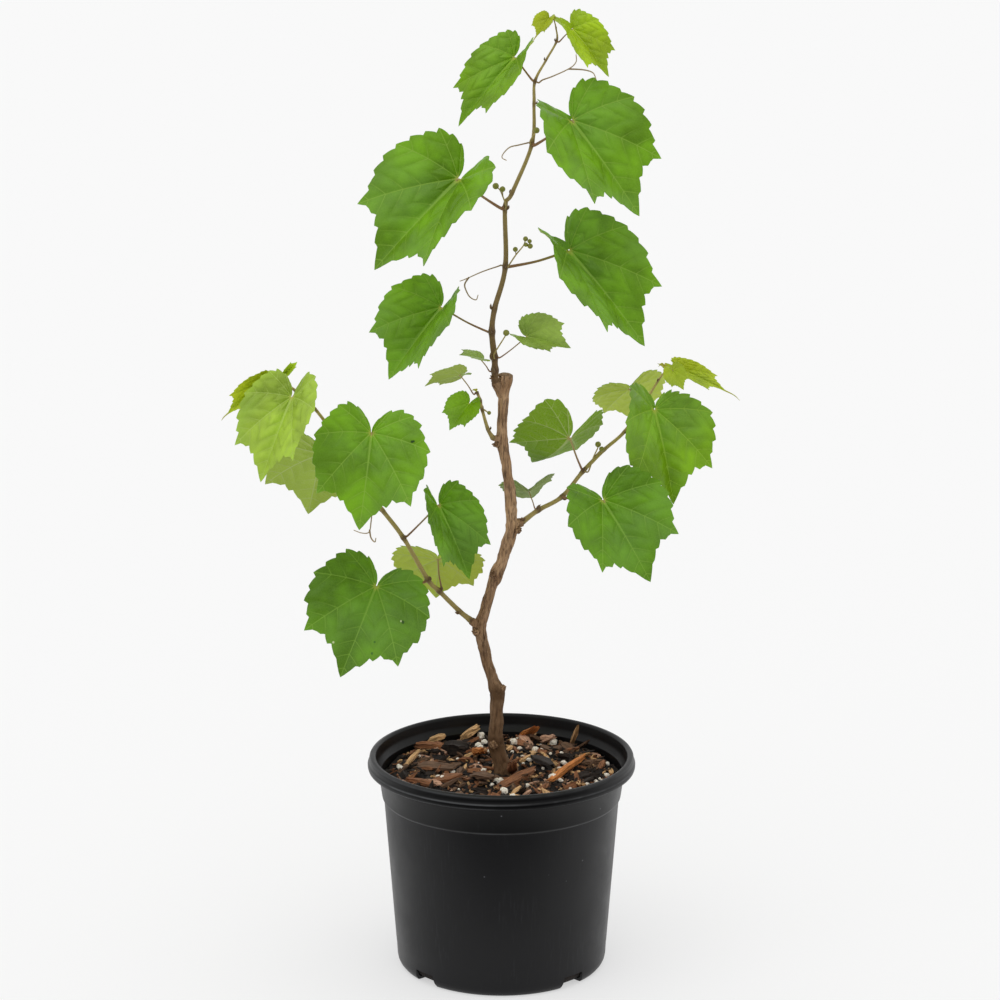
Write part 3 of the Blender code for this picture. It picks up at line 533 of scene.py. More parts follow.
def new_material(name, roughness, ior=1.45, specular=0.5):
    """A material that isn't metal, with only its surface shader in it, and its node tree."""
    made = bpy.data.materials.new(name)
    made.use_nodes = True
    inputs = made.node_tree.nodes["Principled BSDF"].inputs
    inputs["Roughness"].default_value = roughness
    inputs["IOR"].default_value = ior
    inputs["Metallic"].default_value = 0.0
    inputs["Specular IOR Level"].default_value = specular
    return made, made.node_tree


def node(tree, kind, links, output=0, **settings):
    """Adds a node with its settings, fills its inputs with values or outputs, and gives its own output."""
    made = tree.nodes.new("ShaderNode" + kind)
    for name, value in settings.items():
        setattr(made, name, value)
    for name, value in links.items():
        if isinstance(value, bpy.types.NodeSocket):
            tree.links.new(value, made.inputs[name])
        else:
            made.inputs[name].default_value = value
    return made.outputs if output is None else made.outputs[output]


def finished(made, tint, relief=None, strength=1.0, depth=0.0, roughness=None):
    """Gives a material its colour and, where it has them, its relief, in millimetres, and its sheen."""
    tree = made.node_tree
    inputs = tree.nodes["Principled BSDF"].inputs
    tree.links.new(tint, inputs["Base Color"])
    if roughness is not None:
        tree.links.new(roughness, inputs["Roughness"])
    if relief is not None:
        bump = node(tree, "Bump", {"Height": relief, "Strength": strength, "Distance": depth * MM})
        tree.links.new(bump, inputs["Normal"])
    return made


def moulded_polypropylene():
    """Black injection-moulded polypropylene: satin, with faint scuffs, dust specks and painted highlights
    along its edges.
    """
    made, tree = new_material("moulded_polypropylene", 0.36, 1.49, specular=0.24)
    place = node(tree, "TexCoord", {}, "Object")
    grain = node(tree, "TexNoise", {"Vector": place, "Scale": POT_GRAIN, "Detail": 3.0})
    cloud = node(tree, "TexNoise", {"Vector": place, "Scale": POT_CLOUDS, "Detail": 5.0, "Roughness": 0.6})
    drawn = node(tree, "Mapping", {"Vector": place, "Scale": POT_STREAKS})
    streaks = node(tree, "TexNoise", {"Vector": drawn, "Scale": 1.0, "Detail": 2.0})
    scuffs = node(tree, "MapRange", {0: streaks, 1: 0.56, 2: 0.72, 3: 0.0, 4: 0.55})
    dusty = node(tree, "MapRange", {0: cloud, 1: 0.42, 2: 0.68, 3: 0.0, 4: 0.5})
    worn = node(tree, "Math", {0: scuffs, 1: dusty}, operation="MULTIPLY")
    height = node(tree, "SeparateXYZ", {0: place}, "Z")
    # Painted shade: above the step, on the collar, the lip and inside the pot, the plastic and its dust are
    # painted darker
    top = node(tree, "Math", {0: height, 1: STEP_HEIGHT * MM}, operation="GREATER_THAN")
    skin = node(tree, "Mix", {0: top, 6: colour("111113"), 7: colour("050506")}, **BLEND)
    dust = node(tree, "Mix", {0: top, 6: colour("333437"), 7: colour("222326")}, **BLEND)
    tint = node(tree, "Mix", {0: worn, 6: skin, 7: dust}, **BLEND)
    dots = node(tree, "TexVoronoi", {"Vector": place, "Scale": POT_SPECKS}, None)
    near = node(tree, "MapRange", {0: dots["Distance"], 1: 0.025, 2: 0.06, 3: 0.55, 4: 0.0})
    chance = node(tree, "SeparateXYZ", {0: dots["Color"]})
    rare = node(tree, "Math", {0: chance, 1: 0.82}, operation="GREATER_THAN")
    specks = node(tree, "Math", {0: near, 1: rare}, operation="MULTIPLY")
    tint = node(tree, "Mix", {0: specks, 6: tint, 7: colour("75767A")}, **BLEND)
    flat = node(tree, "VectorMath", {0: place, 1: (1.0, 1.0, 0.0)}, operation="MULTIPLY")
    spread = node(tree, "VectorMath", {0: flat}, "Value", operation="LENGTH")
    under_lip = (POT_HEIGHT - LIP_HEIGHT - 3.0) * MM
    body = node(tree, "Math", {0: height, 1: under_lip}, operation="LESS_THAN")
    lip = node(tree, "Math", {0: spread, 1: (LIP_INNER_RADIUS + 2.2) * MM}, operation="GREATER_THAN")
    outside = node(tree, "Math", {0: body, 1: lip}, operation="MAXIMUM")
    patchy = node(tree, "MapRange", {0: cloud, 1: 0.36, 2: 0.60, 3: 0.1, 4: 1.0})
    # Painted highlights: paler grey bands along the lip's edges and the step, where light would catch them
    for level, width, strength in PAINTED_EDGE_HIGHLIGHTS:
        away = node(tree, "Math", {0: height, 1: level * MM}, operation="SUBTRACT")
        away = node(tree, "Math", {0: away}, operation="ABSOLUTE")
        band = node(tree, "MapRange", {0: away, 1: 0.0, 2: width * MM, 3: strength, 4: 0.0})
        edge_highlight = node(tree, "Math", {0: band, 1: patchy}, operation="MULTIPLY")
        edge_highlight = node(tree, "Math", {0: edge_highlight, 1: outside}, operation="MULTIPLY")
        tint = node(tree, "Mix", {0: edge_highlight, 6: tint, 7: colour("8A8D90")}, **BLEND)
    matt = node(tree, "MapRange", {0: cloud, 1: 0.3, 2: 0.7, 3: 0.32, 4: 0.46})
    return finished(made, tint, grain, 0.12, 0.2, matt)


def damp_peat():
    """Damp peat and fine bark dust: almost black, partly as painted shade in the gaps between the chips, with
    no shine.
    """
    made, tree = new_material("damp_peat", 0.95)
    place = node(tree, "TexCoord", {}, "Object")
    lumps = node(tree, "TexNoise", {"Vector": place, "Scale": PEAT_LUMPS, "Detail": 6.0, "Roughness": 0.7})
    crumbly = node(tree, "MapRange", {0: lumps, 1: 0.4, 2: 0.68})
    # Painted shade: the near-black peat also stands for the shade in the gaps between the chips
    tint = node(tree, "Mix", {0: crumbly, 6: colour("080503"), 7: colour("21160F")}, **BLEND)
    return finished(made, tint, lumps, 0.7, 0.8)


def bark_chip(tone):
    """A shredded pine-bark chip: dry fibrous grain that runs along the chip, with darker resin lines."""
    made, tree = new_material("pine_bark_" + tone, 0.85)
    base = colour(CHIP_TONES[tone])
    dark = toned(base, 0.28)
    light = toned(base, 1.35)
    grain = node(tree, "UVMap", {}, uv_map="grain")
    drawn = node(tree, "Mapping", {"Vector": grain, "Scale": CHIP_GRAIN})
    fibres = node(tree, "TexNoise", {"Vector": drawn, "Scale": 1.0, "Detail": 5.0, "Roughness": 0.65})
    deep = node(tree, "MapRange", {0: fibres, 1: 0.32, 2: 0.56})
    low = node(tree, "Mix", {0: deep, 6: dark, 7: base}, **BLEND)
    bright = node(tree, "MapRange", {0: fibres, 1: 0.56, 2: 0.74})
    tint = node(tree, "Mix", {0: bright, 6: low, 7: light}, **BLEND)
    return finished(made, tint, fibres, 0.8, 0.6)


def perlite():
    """Expanded perlite: chalky cream grains, pitted like foam."""
    made, tree = new_material("expanded_perlite", 0.9)
    place = node(tree, "TexCoord", {}, "Object")
    pits = node(tree, "TexVoronoi", {"Vector": place, "Scale": PERLITE_PITS})
    tint = node(tree, "Mix", {0: pits, 6: colour("D2C4AC"), 7: colour("FFFAF0")}, **BLEND)
    return finished(made, tint, pits, 0.6, 0.4)


def old_bark():
    """Two-year-old vine bark: reddish grey-brown, split into long fibres, with dark lines between them."""
    made, tree = new_material("old_vine_bark", 0.82)
    place = node(tree, "TexCoord", {}, "Object")
    drawn = node(tree, "Mapping", {"Vector": place, "Scale": BARK_STRETCH})
    fibres = node(tree, "TexNoise", {"Vector": drawn, "Scale": BARK_FIBRES, "Detail": 7.0, "Roughness": 0.7})
    patches = node(tree, "TexNoise", {"Vector": place, "Scale": BARK_PATCHES, "Detail": 4.0})
    dark = node(tree, "MapRange", {0: fibres, 1: 0.34, 2: 0.56})
    grey = node(tree, "MapRange", {0: patches, 1: 0.36, 2: 0.64})
    skin = node(tree, "Mix", {0: grey, 6: colour("987452"), 7: colour("C4A07C")}, **BLEND)
    tint = node(tree, "Mix", {0: dark, 6: colour("4F3A2A"), 7: skin}, **BLEND)
    worn = node(tree, "Attribute", {}, "Fac", attribute_name="dark")
    tint = node(tree, "Mix", {0: worn, 6: tint, 7: colour("5A3F24")}, **BLEND)
    return finished(made, tint, fibres, 1.0, 0.7)


def cut_wood():
    """The end grain of a pruning cut, weathered to a pale brown."""
    made, tree = new_material("weathered_cut_wood", 0.9)
    place = node(tree, "TexCoord", {}, "Object")
    rays = node(tree, "TexNoise", {"Vector": place, "Scale": WOOD_RAYS, "Detail": 4.0})
    tint = node(tree, "Mix", {0: rays, 6: colour("5E4737"), 7: colour("A58868")}, **BLEND)
    return finished(made, tint)


def green_cane():
    """This year's cane: thin satin bark, brown at its foot, green-gold at its tip, darker at its nodes."""
    made, tree = new_material("green_cane_bark", 0.5)
    place = node(tree, "TexCoord", {}, "Object")
    age = node(tree, "Attribute", {}, "Fac", attribute_name="youth")
    dark = node(tree, "Attribute", {}, "Fac", attribute_name="dark")
    flecks = node(tree, "TexNoise", {"Vector": place, "Scale": CANE_FLECKS, "Detail": 4.0})
    older = node(tree, "Mix", {0: flecks, 6: colour("563F24"), 7: colour("785A36")}, **BLEND)
    younger = node(tree, "Mix", {0: flecks, 6: colour("9A8A48"), 7: colour("BEAE68")}, **BLEND)
    skin = node(tree, "Mix", {0: age, 6: older, 7: younger}, **BLEND)
    tint = node(tree, "Mix", {0: dark, 6: skin, 7: colour("543A24")}, **BLEND)
    return finished(made, tint, flecks, 0.25, 0.3)


def petiole_skin():
    """A leaf stalk's skin: reddish brown by the cane, green where it meets its blade."""
    made, tree = new_material("petiole_skin", 0.45)
    age = node(tree, "Attribute", {}, "Fac", attribute_name="youth")
    reach = node(tree, "MapRange", {0: age, 1: 0.25, 2: 1.0})
    tint = node(tree, "Mix", {0: reach, 6: colour("866342"), 7: colour("A6995A")}, **BLEND)
    return finished(made, tint)


def tendril_skin():
    """A tendril's skin: thin, smooth and tan, browner at its base."""
    made, tree = new_material("tendril_skin", 0.5)
    age = node(tree, "Attribute", {}, "Fac", attribute_name="youth")
    tint = node(tree, "Mix", {0: age, 6: colour("87704A"), 7: colour("B39E80")}, **BLEND)
    return finished(made, tint)


def young_shoot():
    """The softest growth, at a cane's end or a young blade's tip: gold-green, downy and matt."""
    made, tree = new_material("young_shoot_skin", 0.6)
    place = node(tree, "TexCoord", {}, "Object")
    down = node(tree, "TexNoise", {"Vector": place, "Scale": SHOOT_DOWN, "Detail": 3.0})
    tint = node(tree, "Mix", {0: down, 6: colour("8E9A22"), 7: colour("C0B840")}, **BLEND)
    return finished(made, tint)


def unripe_fruit():
    """A fruit just after its flower: matt green skin with paler lenticels."""
    made, tree = new_material("unripe_grape_skin", 0.5)
    place = node(tree, "TexCoord", {}, "Object")
    dots = node(tree, "TexVoronoi", {"Vector": place, "Scale": FRUIT_DOTS})
    pale = node(tree, "MapRange", {0: dots, 1: 0.12, 2: 0.3, 3: 1.0, 4: 0.0})
    tint = node(tree, "Mix", {0: pale, 6: colour("787A2C"), 7: colour("ACA456")}, **BLEND)
    return finished(made, tint)


def vein_pattern(tree):
    """How far a point of a blade is on a vein, on the hub and in a crease, from the blade's vein map."""
    chart = node(tree, "UVMap", {}, uv_map="veins")
    parts = node(tree, "SeparateXYZ", {0: chart}, None)
    width = node(tree, "MapRange", {0: parts[0], 3: MAIN_VEIN_WIDE, 4: MAIN_VEIN_NARROW})
    share = node(tree, "Math", {0: parts[1], 1: width}, operation="DIVIDE")
    soft = {"interpolation_type": "SMOOTHSTEP"}
    main = node(tree, "MapRange", {0: share, 1: 0.35, 2: 1.15, 3: 0.62, 4: 0.0}, **soft)
    curve = {0: parts[1], 1: SIDE_VEIN_CURVE, 2: SIDE_VEIN_SLANT}
    slant = node(tree, "Math", curve, operation="MULTIPLY_ADD")
    ahead = node(tree, "Math", {0: parts[1], 1: slant}, operation="MULTIPLY")
    along = node(tree, "Math", {0: parts[0], 1: ahead}, operation="SUBTRACT")
    count = node(tree, "Math", {0: along, 1: SIDE_VEIN_PITCH}, operation="DIVIDE")
    near = node(tree, "Math", {0: count, 1: 0.5}, operation="PINGPONG")
    side = node(tree, "MapRange", {0: near, 1: 0.010, 2: 0.045, 3: 1.0, 4: 0.0}, **soft)
    spread = node(tree, "Math", {0: parts[1], 1: parts[0]}, operation="DIVIDE")
    fade = node(tree, "MapRange", {0: spread, 1: 0.05, 2: 0.33, 3: 0.6, 4: 0.0})
    side = node(tree, "Math", {0: side, 1: fade}, operation="MULTIPLY")
    rungs = node(tree, "Math", {0: parts[1], 1: RUNG_PITCH}, operation="DIVIDE")
    rungs = node(tree, "Math", {0: rungs, 1: 0.5}, operation="PINGPONG")
    rungs = node(tree, "MapRange", {0: rungs, 1: 0.0, 2: 0.11, 3: 0.10, 4: 0.0})
    thin = node(tree, "Math", {0: side, 1: rungs}, operation="MAXIMUM")
    vein = node(tree, "Math", {0: main, 1: thin}, operation="MAXIMUM")
    hub = node(tree, "MapRange", {0: parts[0], 1: 0.01, 2: 0.06, 3: 0.8, 4: 0.0})
    hub = node(tree, "Math", {0: hub, 1: main}, operation="MULTIPLY")
    # Painted shade: darker along each side vein's crease
    crease = node(tree, "MapRange", {0: near, 1: 0.04, 2: 0.30, 3: 1.0, 4: 0.0})
    return vein, hub, crease


def upper_leaf(tone):
    """A blade's upper side: waxy mottled green tissue with paler bluish patches of painted sheen, painted
    shade along its side veins, pale veins and a few specks.
    """
    made, tree = new_material("leaf_upper_" + tone, 0.42, 1.42, specular=0.33)
    base = colour(LEAF_TONES[tone][0])
    dark = toned(base, 0.74)
    light = toned(base, 1.30)
    place = node(tree, "TexCoord", {}, "Object")
    patches = node(tree, "TexNoise", {"Vector": place, "Scale": LEAF_PATCHES, "Detail": 3.0})
    cells = node(tree, "TexVoronoi", {"Vector": place, "Scale": LEAF_CELLS}, feature="DISTANCE_TO_EDGE")
    mottle = node(tree, "MapRange", {0: patches, 1: 0.36, 2: 0.64})
    skin = node(tree, "Mix", {0: mottle, 6: dark, 7: light}, **BLEND)
    # Painted sheen: broad patches of paler bluish green, where a glossy blade would mirror the light
    broad = node(tree, "TexNoise", {"Vector": place, "Scale": LEAF_SHEEN_PATCHES, "Detail": 2.0})
    painted_sheen = node(tree, "MapRange", {0: broad, 1: 0.46, 2: 0.62, 3: 0.0, 4: 0.28})
    skin = node(tree, "Mix", {0: painted_sheen, 6: skin, 7: colour("729F45")}, **BLEND)
    net = node(tree, "MapRange", {0: cells, 1: 0.0, 2: 0.12, 3: 0.16, 4: 0.0})
    vein, hub, crease = vein_pattern(tree)
    # Painted shade: the tissue is darkened along the side veins' creases
    crease_shade_colour = toned(base, 0.62)
    crease = node(tree, "Math", {0: crease, 1: 0.17}, operation="MULTIPLY")
    skin = node(tree, "Mix", {0: crease, 6: skin, 7: crease_shade_colour}, **BLEND)
    vein = node(tree, "Math", {0: vein, 1: net}, operation="MAXIMUM")
    veined = node(tree, "Mix", {0: vein, 6: skin, 7: colour(LEAF_TONES[tone][2])}, **BLEND)
    tint = node(tree, "Mix", {0: hub, 6: veined, 7: colour("B8B04A")}, **BLEND)
    spots = node(tree, "TexVoronoi", {"Vector": place, "Scale": LEAF_SPECKS}, None)
    small = node(tree, "MapRange", {0: spots["Distance"], 1: 0.022, 2: 0.034, 3: 1.0, 4: 0.0})
    chance = node(tree, "SeparateXYZ", {0: spots["Color"]})
    rare = node(tree, "Math", {0: chance, 1: 0.84}, operation="GREATER_THAN")
    blemish = node(tree, "Math", {0: small, 1: rare}, operation="MULTIPLY")
    tint = node(tree, "Mix", {0: blemish, 6: tint, 7: colour("3B3216")}, **BLEND)
    face = node(tree, "VectorMath", {0: place, 1: (1.0, 0.0, 1.0)}, operation="MULTIPLY")
    for x, z, size, code in BLADE_MARKS.get(tone, []):
        middle = (x * MM, 0.0, z * MM)
        away = node(tree, "VectorMath", {0: face, 1: middle}, "Value", operation="DISTANCE")
        mark = node(tree, "MapRange", {0: away, 1: size * 0.6 * MM, 2: size * MM, 3: 0.9, 4: 0.0})
        tint = node(tree, "Mix", {0: mark, 6: tint, 7: colour(code)}, **BLEND)
    waxy = node(tree, "MapRange", {0: patches, 1: 0.3, 2: 0.7, 3: 0.36, 4: 0.5})
    return finished(made, tint, cells, 0.35, 0.3, waxy)


def under_leaf(tone):
    """A blade's under side: paler and duller, its pale green partly painted light that shines through the
    blade, with its veins raised and lighter still.
    """
    made, tree = new_material("leaf_under_" + tone, 0.62, 1.4, specular=0.3)
    # Painted light: the under side's pale green is brightened for the light that shines through the blade
    base = colour(LEAF_TONES[tone][1])
    dark = toned(base, 0.84)
    place = node(tree, "TexCoord", {}, "Object")
    patches = node(tree, "TexNoise", {"Vector": place, "Scale": UNDER_PATCHES, "Detail": 3.0})
    cells = node(tree, "TexVoronoi", {"Vector": place, "Scale": UNDER_CELLS}, feature="DISTANCE_TO_EDGE")
    net = node(tree, "MapRange", {0: cells, 1: 0.0, 2: 0.12, 3: 0.22, 4: 0.0})
    skin = node(tree, "Mix", {0: patches, 6: dark, 7: base}, **BLEND)
    vein, hub, _ = vein_pattern(tree)
    vein = node(tree, "Math", {0: vein, 1: net}, operation="MAXIMUM")
    veined = node(tree, "Mix", {0: vein, 6: skin, 7: colour("B4C280")}, **BLEND)
    tint = node(tree, "Mix", {0: hub, 6: veined, 7: colour("B98A4E")}, **BLEND)
    return finished(made, tint, vein, 0.4, 0.4)


MADE = {}


def once(make, *words):
    """A material, made the first time that it is asked for."""
    key = (make.__name__, *words)
    if key not in MADE:
        MADE[key] = make(*words)
    return MADE[key]


def clamped(value):
    """A value, kept between 0 and 1."""
    return min(1.0, max(0.0, value))


def added(add, **words):
    """A new simple mesh, with nothing else selected."""
    bpy.ops.object.select_all(action="DESELECT")
    add(**words)
    return bpy.context.object


def drop_map(piece):
    """Drops the map that a new simple mesh comes with, where nothing reads it."""
    spare = piece.data.uv_layers.get("UVMap")
    if spare:
        piece.data.uv_layers.remove(spare)


def sheet(name, columns, rows, place):
    """A grid of faces, each of whose points is moved to where place puts its column and row."""
    piece = added(bpy.ops.mesh.primitive_grid_add, x_subdivisions=columns, y_subdivisions=rows, size=1.0)
    drop_map(piece)
    piece.name = name
    for vert in piece.data.vertices:
        column = round((vert.co.x + 0.5) * columns)
        row = round((vert.co.y + 0.5) * rows)
        vert.co = Vector(place(column, row)) * MM
    return piece


def only(*pieces):
    """Selects some pieces and nothing else, and makes the first the active one."""
    bpy.ops.object.select_all(action="DESELECT")
    for piece in pieces:
        piece.select_set(True)
    bpy.context.view_layer.objects.active = pieces[0]


def weld(piece, fill=True):
    """Merges a piece's seam in edit mode, closes its open ends and turns its faces outwards."""
    only(piece)
    bpy.ops.object.mode_set(mode="EDIT")
    bpy.ops.mesh.select_all(action="SELECT")
    bpy.ops.mesh.remove_doubles(threshold=2e-6)
    if fill:
        bpy.ops.mesh.select_all(action="SELECT")
        bpy.ops.mesh.fill_holes(sides=0)
    bpy.ops.mesh.select_all(action="SELECT")
    bpy.ops.mesh.normals_make_consistent(inside=False)
    bpy.ops.object.mode_set(mode="OBJECT")


def join(name, pieces):
    """Joins pieces into one."""
    only(*pieces)
    if len(pieces) > 1:
        bpy.ops.object.join()
    pieces[0].name = name
    pieces[0].data.name = name
    return pieces[0]


def smooth_route(points, per_span):
    """A smooth route through points, with a number of steps between each two."""
    points = [Vector(p) for p in points]
    ends = [points[0] * 2 - points[1]] + points + [points[-1] * 2 - points[-2]]
    route = []
    for a, b, c, d in zip(ends, ends[1:], ends[2:], ends[3:]):
        for step in range(per_span):
            t = step / per_span
            square = 2 * a - 5 * b + 4 * c - d
            cube = 3 * b - a - 3 * c + d
            route.append(0.5 * (2 * b + (c - a) * t + square * t ** 2 + cube * t ** 3))
    route.append(points[-1])
    return route


def eased(values, per_span):
    """Values with a number of eased steps between each two."""
    out = []
    for near, far in zip(values, values[1:]):
        for step in range(per_span):
            t = step / per_span
            out.append(near + (far - near) * t * t * (3 - 2 * t))
    out.append(values[-1])
    return out


def carried_frames(route):
    """Two directions square to a route at each of its points, carried along it without twist."""
    frames = []
    side = None
    for number in range(len(route)):
        ahead = route[min(number + 1, len(route) - 1)] - route[max(number - 1, 0)]
        ahead.normalize()
        if side is None:
            side = ahead.cross(Vector((0.3, 1.0, 0.2))).normalized()
        side = (side - ahead * side.dot(ahead)).normalized()
        frames.append((side, ahead.cross(side)))
    return frames


def limb(name, route, radii, around, finish, relief=None, youth=(0.0, 1.0), dark=None):
    """A closed tube along a route. Relief says how far its skin stands out, at an angle and so far along."""
    rows = len(route) - 1
    frames = carried_frames(route)
    travelled = [0.0]
    for near, far in zip(route, route[1:]):
        travelled.append(travelled[-1] + (far - near).length)

    def place(column, row):
        angle = math.tau * (column % around) / around
        side, up = frames[row]
        radius = radii[row]
        if relief:
            radius += relief(angle, travelled[row], radii[row])
        return route[row] + (side * math.cos(angle) + up * math.sin(angle)) * radius

    piece = sheet(name, around, rows, place)
    share = piece.data.attributes.new("youth", "FLOAT", "POINT")
    darkness = piece.data.attributes.new("dark", "FLOAT", "POINT")
    for number in range(len(piece.data.vertices)):
        row = number // (around + 1)
        share.data[number].value = youth[0] + (youth[1] - youth[0]) * travelled[row] / travelled[-1]
        darkness.data[number].value = dark[row] if dark else 0.0
    weld(piece)
    piece.data.materials.append(finish)
    return piece


def tube(name, places, radii, steps, around, finish, dark=(0.0, 0.0), **words):
    """A limb through some places, with a radius at each. Dark is how dark it starts, and the change."""
    route = smooth_route(places, steps)
    start, change = dark
    darkness = [start + change * (step / len(route)) for step in range(len(route))]
    return limb(name, route, eased(radii, steps), around, finish, dark=darkness, **words)


def ready(piece, angle=50.0):
    """Smooths a piece's shading, except across its sharp edges, and lets it ride on the plant's one body."""
    piece.data.shade_smooth()
    piece.data.set_sharp_from_angle(angle=math.radians(angle))
    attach(piece, "root")
    return piece


def nursery_pot():
    """The pot: a thin moulded shell with a stepped lip, a collar and drain notches."""
    lip_low = POT_HEIGHT - LIP_HEIGHT
    profile = [
        (0.0, FLOOR),
        (FOOT_RADIUS - 0.4, FLOOR),
        (FOOT_CORNER_RADIUS - 2.2, FLOOR + 1.6),
        (FOOT_CORNER_RADIUS - 1.0, FLOOR + 4.8),
        (BODY_TOP_RADIUS - WALL, STEP_HEIGHT - 1.0),
        (COLLAR_LOW_RADIUS - WALL, STEP_HEIGHT + 1.0),
        (COLLAR_TOP_RADIUS - WALL, lip_low - 2.2),
        (LIP_INNER_RADIUS - 0.7, lip_low + 0.4),
        (LIP_INNER_RADIUS, lip_low + 2.4),
        (LIP_INNER_RADIUS, POT_HEIGHT - 1.6),
        (LIP_INNER_RADIUS + 0.3, POT_HEIGHT - 0.8),
        (LIP_INNER_RADIUS + 1.0, POT_HEIGHT - 0.2),
        (LIP_INNER_RADIUS + 1.9, POT_HEIGHT),
        (RIM_RADIUS - 2.5, POT_HEIGHT - 0.15),
        (RIM_RADIUS - 1.6, POT_HEIGHT - 0.6),
        (RIM_RADIUS - 1.1, POT_HEIGHT - 1.5),
        (RIM_RADIUS - 0.95, POT_HEIGHT - 2.8),
        (RIM_RADIUS - 0.85, POT_HEIGHT - 4.5),
        (RIM_RADIUS - 0.6, POT_HEIGHT - 4.9),
        (RIM_RADIUS - 0.2, POT_HEIGHT - 5.25),
        (RIM_RADIUS, POT_HEIGHT - 5.8),
        (RIM_RADIUS - 0.05, lip_low + 1.4),
        (RIM_RADIUS - 0.35, lip_low + 0.4),
        (RIM_RADIUS - 0.9, lip_low),
        (RIM_RADIUS - 1.6, lip_low + 0.5),
        (RIM_RADIUS - 2.2, POT_HEIGHT - 3.4),
        (LIP_INNER_RADIUS + 2.0, POT_HEIGHT - 3.0),
        (LIP_INNER_RADIUS + 1.2, lip_low + 1.6),
        (COLLAR_TOP_RADIUS, lip_low - 2.6),
        (COLLAR_LOW_RADIUS + 0.12, STEP_HEIGHT + 1.6),
        (COLLAR_LOW_RADIUS - 0.1, STEP_HEIGHT + 0.6),
        (BODY_TOP_RADIUS + 0.25, STEP_HEIGHT - 0.3),
        (BODY_TOP_RADIUS, STEP_HEIGHT - 1.6),
        (FOOT_CORNER_RADIUS + 0.95, 14.4),
        (FOOT_CORNER_RADIUS + 0.75, 13.6),
        (FOOT_CORNER_RADIUS + 0.35, 6.0),
        (FOOT_CORNER_RADIUS - 0.05, 3.8),
        (FOOT_CORNER_RADIUS - 0.8, 2.2),
        (FOOT_CORNER_RADIUS - 2.0, 0.7),
        (FOOT_CORNER_RADIUS - 3.0, 0.15),
        (FOOT_RADIUS - 0.8, 0.0),
        (0.0, 0.0),
    ]

    def place(column, row):
        angle = -math.tau * (column % POT_STEPS) / POT_STEPS
        radius, height = profile[row]
        return Vector((radius * math.cos(angle), radius * math.sin(angle), height))

    pot = sheet("nursery_pot", POT_STEPS, len(profile) - 1, place)
    weld(pot, fill=False)
    for number in range(NOTCH_COUNT):
        cut_notch(pot, number)
    pot.data.materials.append(once(moulded_polypropylene))
    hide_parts("pot")
    return ready(pot, 32.0)


def cut_notch(pot, number):
    """Cuts one drain notch, narrower at its top, out of the pot's foot."""
    cutter = added(bpy.ops.mesh.primitive_cube_add, size=1.0)
    for vert in cutter.data.vertices:
        narrow = NOTCH_TOP if vert.co.z > 0 else 1.0
        vert.co.x *= NOTCH_DEPTH * MM
        vert.co.y *= NOTCH_WIDTH * narrow * MM
        vert.co.z *= 2 * NOTCH_HEIGHT * MM
        vert.co.x += (FOOT_CORNER_RADIUS - 2.0) * MM
    turn = math.tau * (number + 0.5) / NOTCH_COUNT + math.radians(NOTCH_TURN)
    cutter.data.transform(Matrix.Rotation(turn, 4, "Z"))
    only(pot)
    cut = pot.modifiers.new("Notch", "BOOLEAN")
    cut.operation = "DIFFERENCE"
    cut.object = cutter
    bpy.ops.object.modifier_apply(modifier=cut.name)
    bpy.data.objects.remove(cutter, do_unlink=True)


def mix_height(x, y):
    """How high the loose mix lies at a place: lumps as wide as chips, a little lower towards the wall."""
    away = math.hypot(x, y)
    lumps = noise.fractal(Vector((x, y, 3.0)) * 0.085, 0.9, 2.1, 4)
    fine = noise.noise(Vector((x, y, 9.0)) * 0.55)
    calm = clamped((away - 6.0) / 8.0)  # level round the trunk's foot
    dish = -1.4 * max(0.0, (away - 58.0) / 14.0) ** 2
    return MIX_LEVEL + 1.0 + calm * (2.2 * lumps + 0.5 * fine) + dish


def potting_mix():
    """The peat between the chips: a lumpy top on a body that fills the pot."""
    down = [
        (COLLAR_LOW_RADIUS - WALL - MIX_CLEAR_OF_WALL, STEP_HEIGHT + 1.2),
        (BODY_TOP_RADIUS - WALL - MIX_CLEAR_OF_WALL, STEP_HEIGHT - 1.2),
        (FOOT_CORNER_RADIUS - 1.5, FLOOR + 5.2),
        (FOOT_CORNER_RADIUS - 2.9, FLOOR + 2.2),
        (FOOT_RADIUS - 1.2, FLOOR + 0.4),
        (0.0, FLOOR + 0.4),
    ]

    def place(column, row):
        angle = -math.tau * (column % MIX_AROUND) / MIX_AROUND
        if row <= MIX_ROWS:
            radius = MIX_RADIUS * row / MIX_ROWS
            x = radius * math.cos(angle)
            y = radius * math.sin(angle)
            return Vector((x, y, mix_height(x, y)))
        radius, height = down[row - MIX_ROWS - 1]
        return Vector((radius * math.cos(angle), radius * math.sin(angle), height))

    mix = sheet("potting_mix_body", MIX_AROUND, MIX_ROWS + len(down), place)
    weld(mix, fill=False)
    mix.data.materials.append(once(damp_peat))
    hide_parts("potting_mix")
    return ready(mix, 70.0)


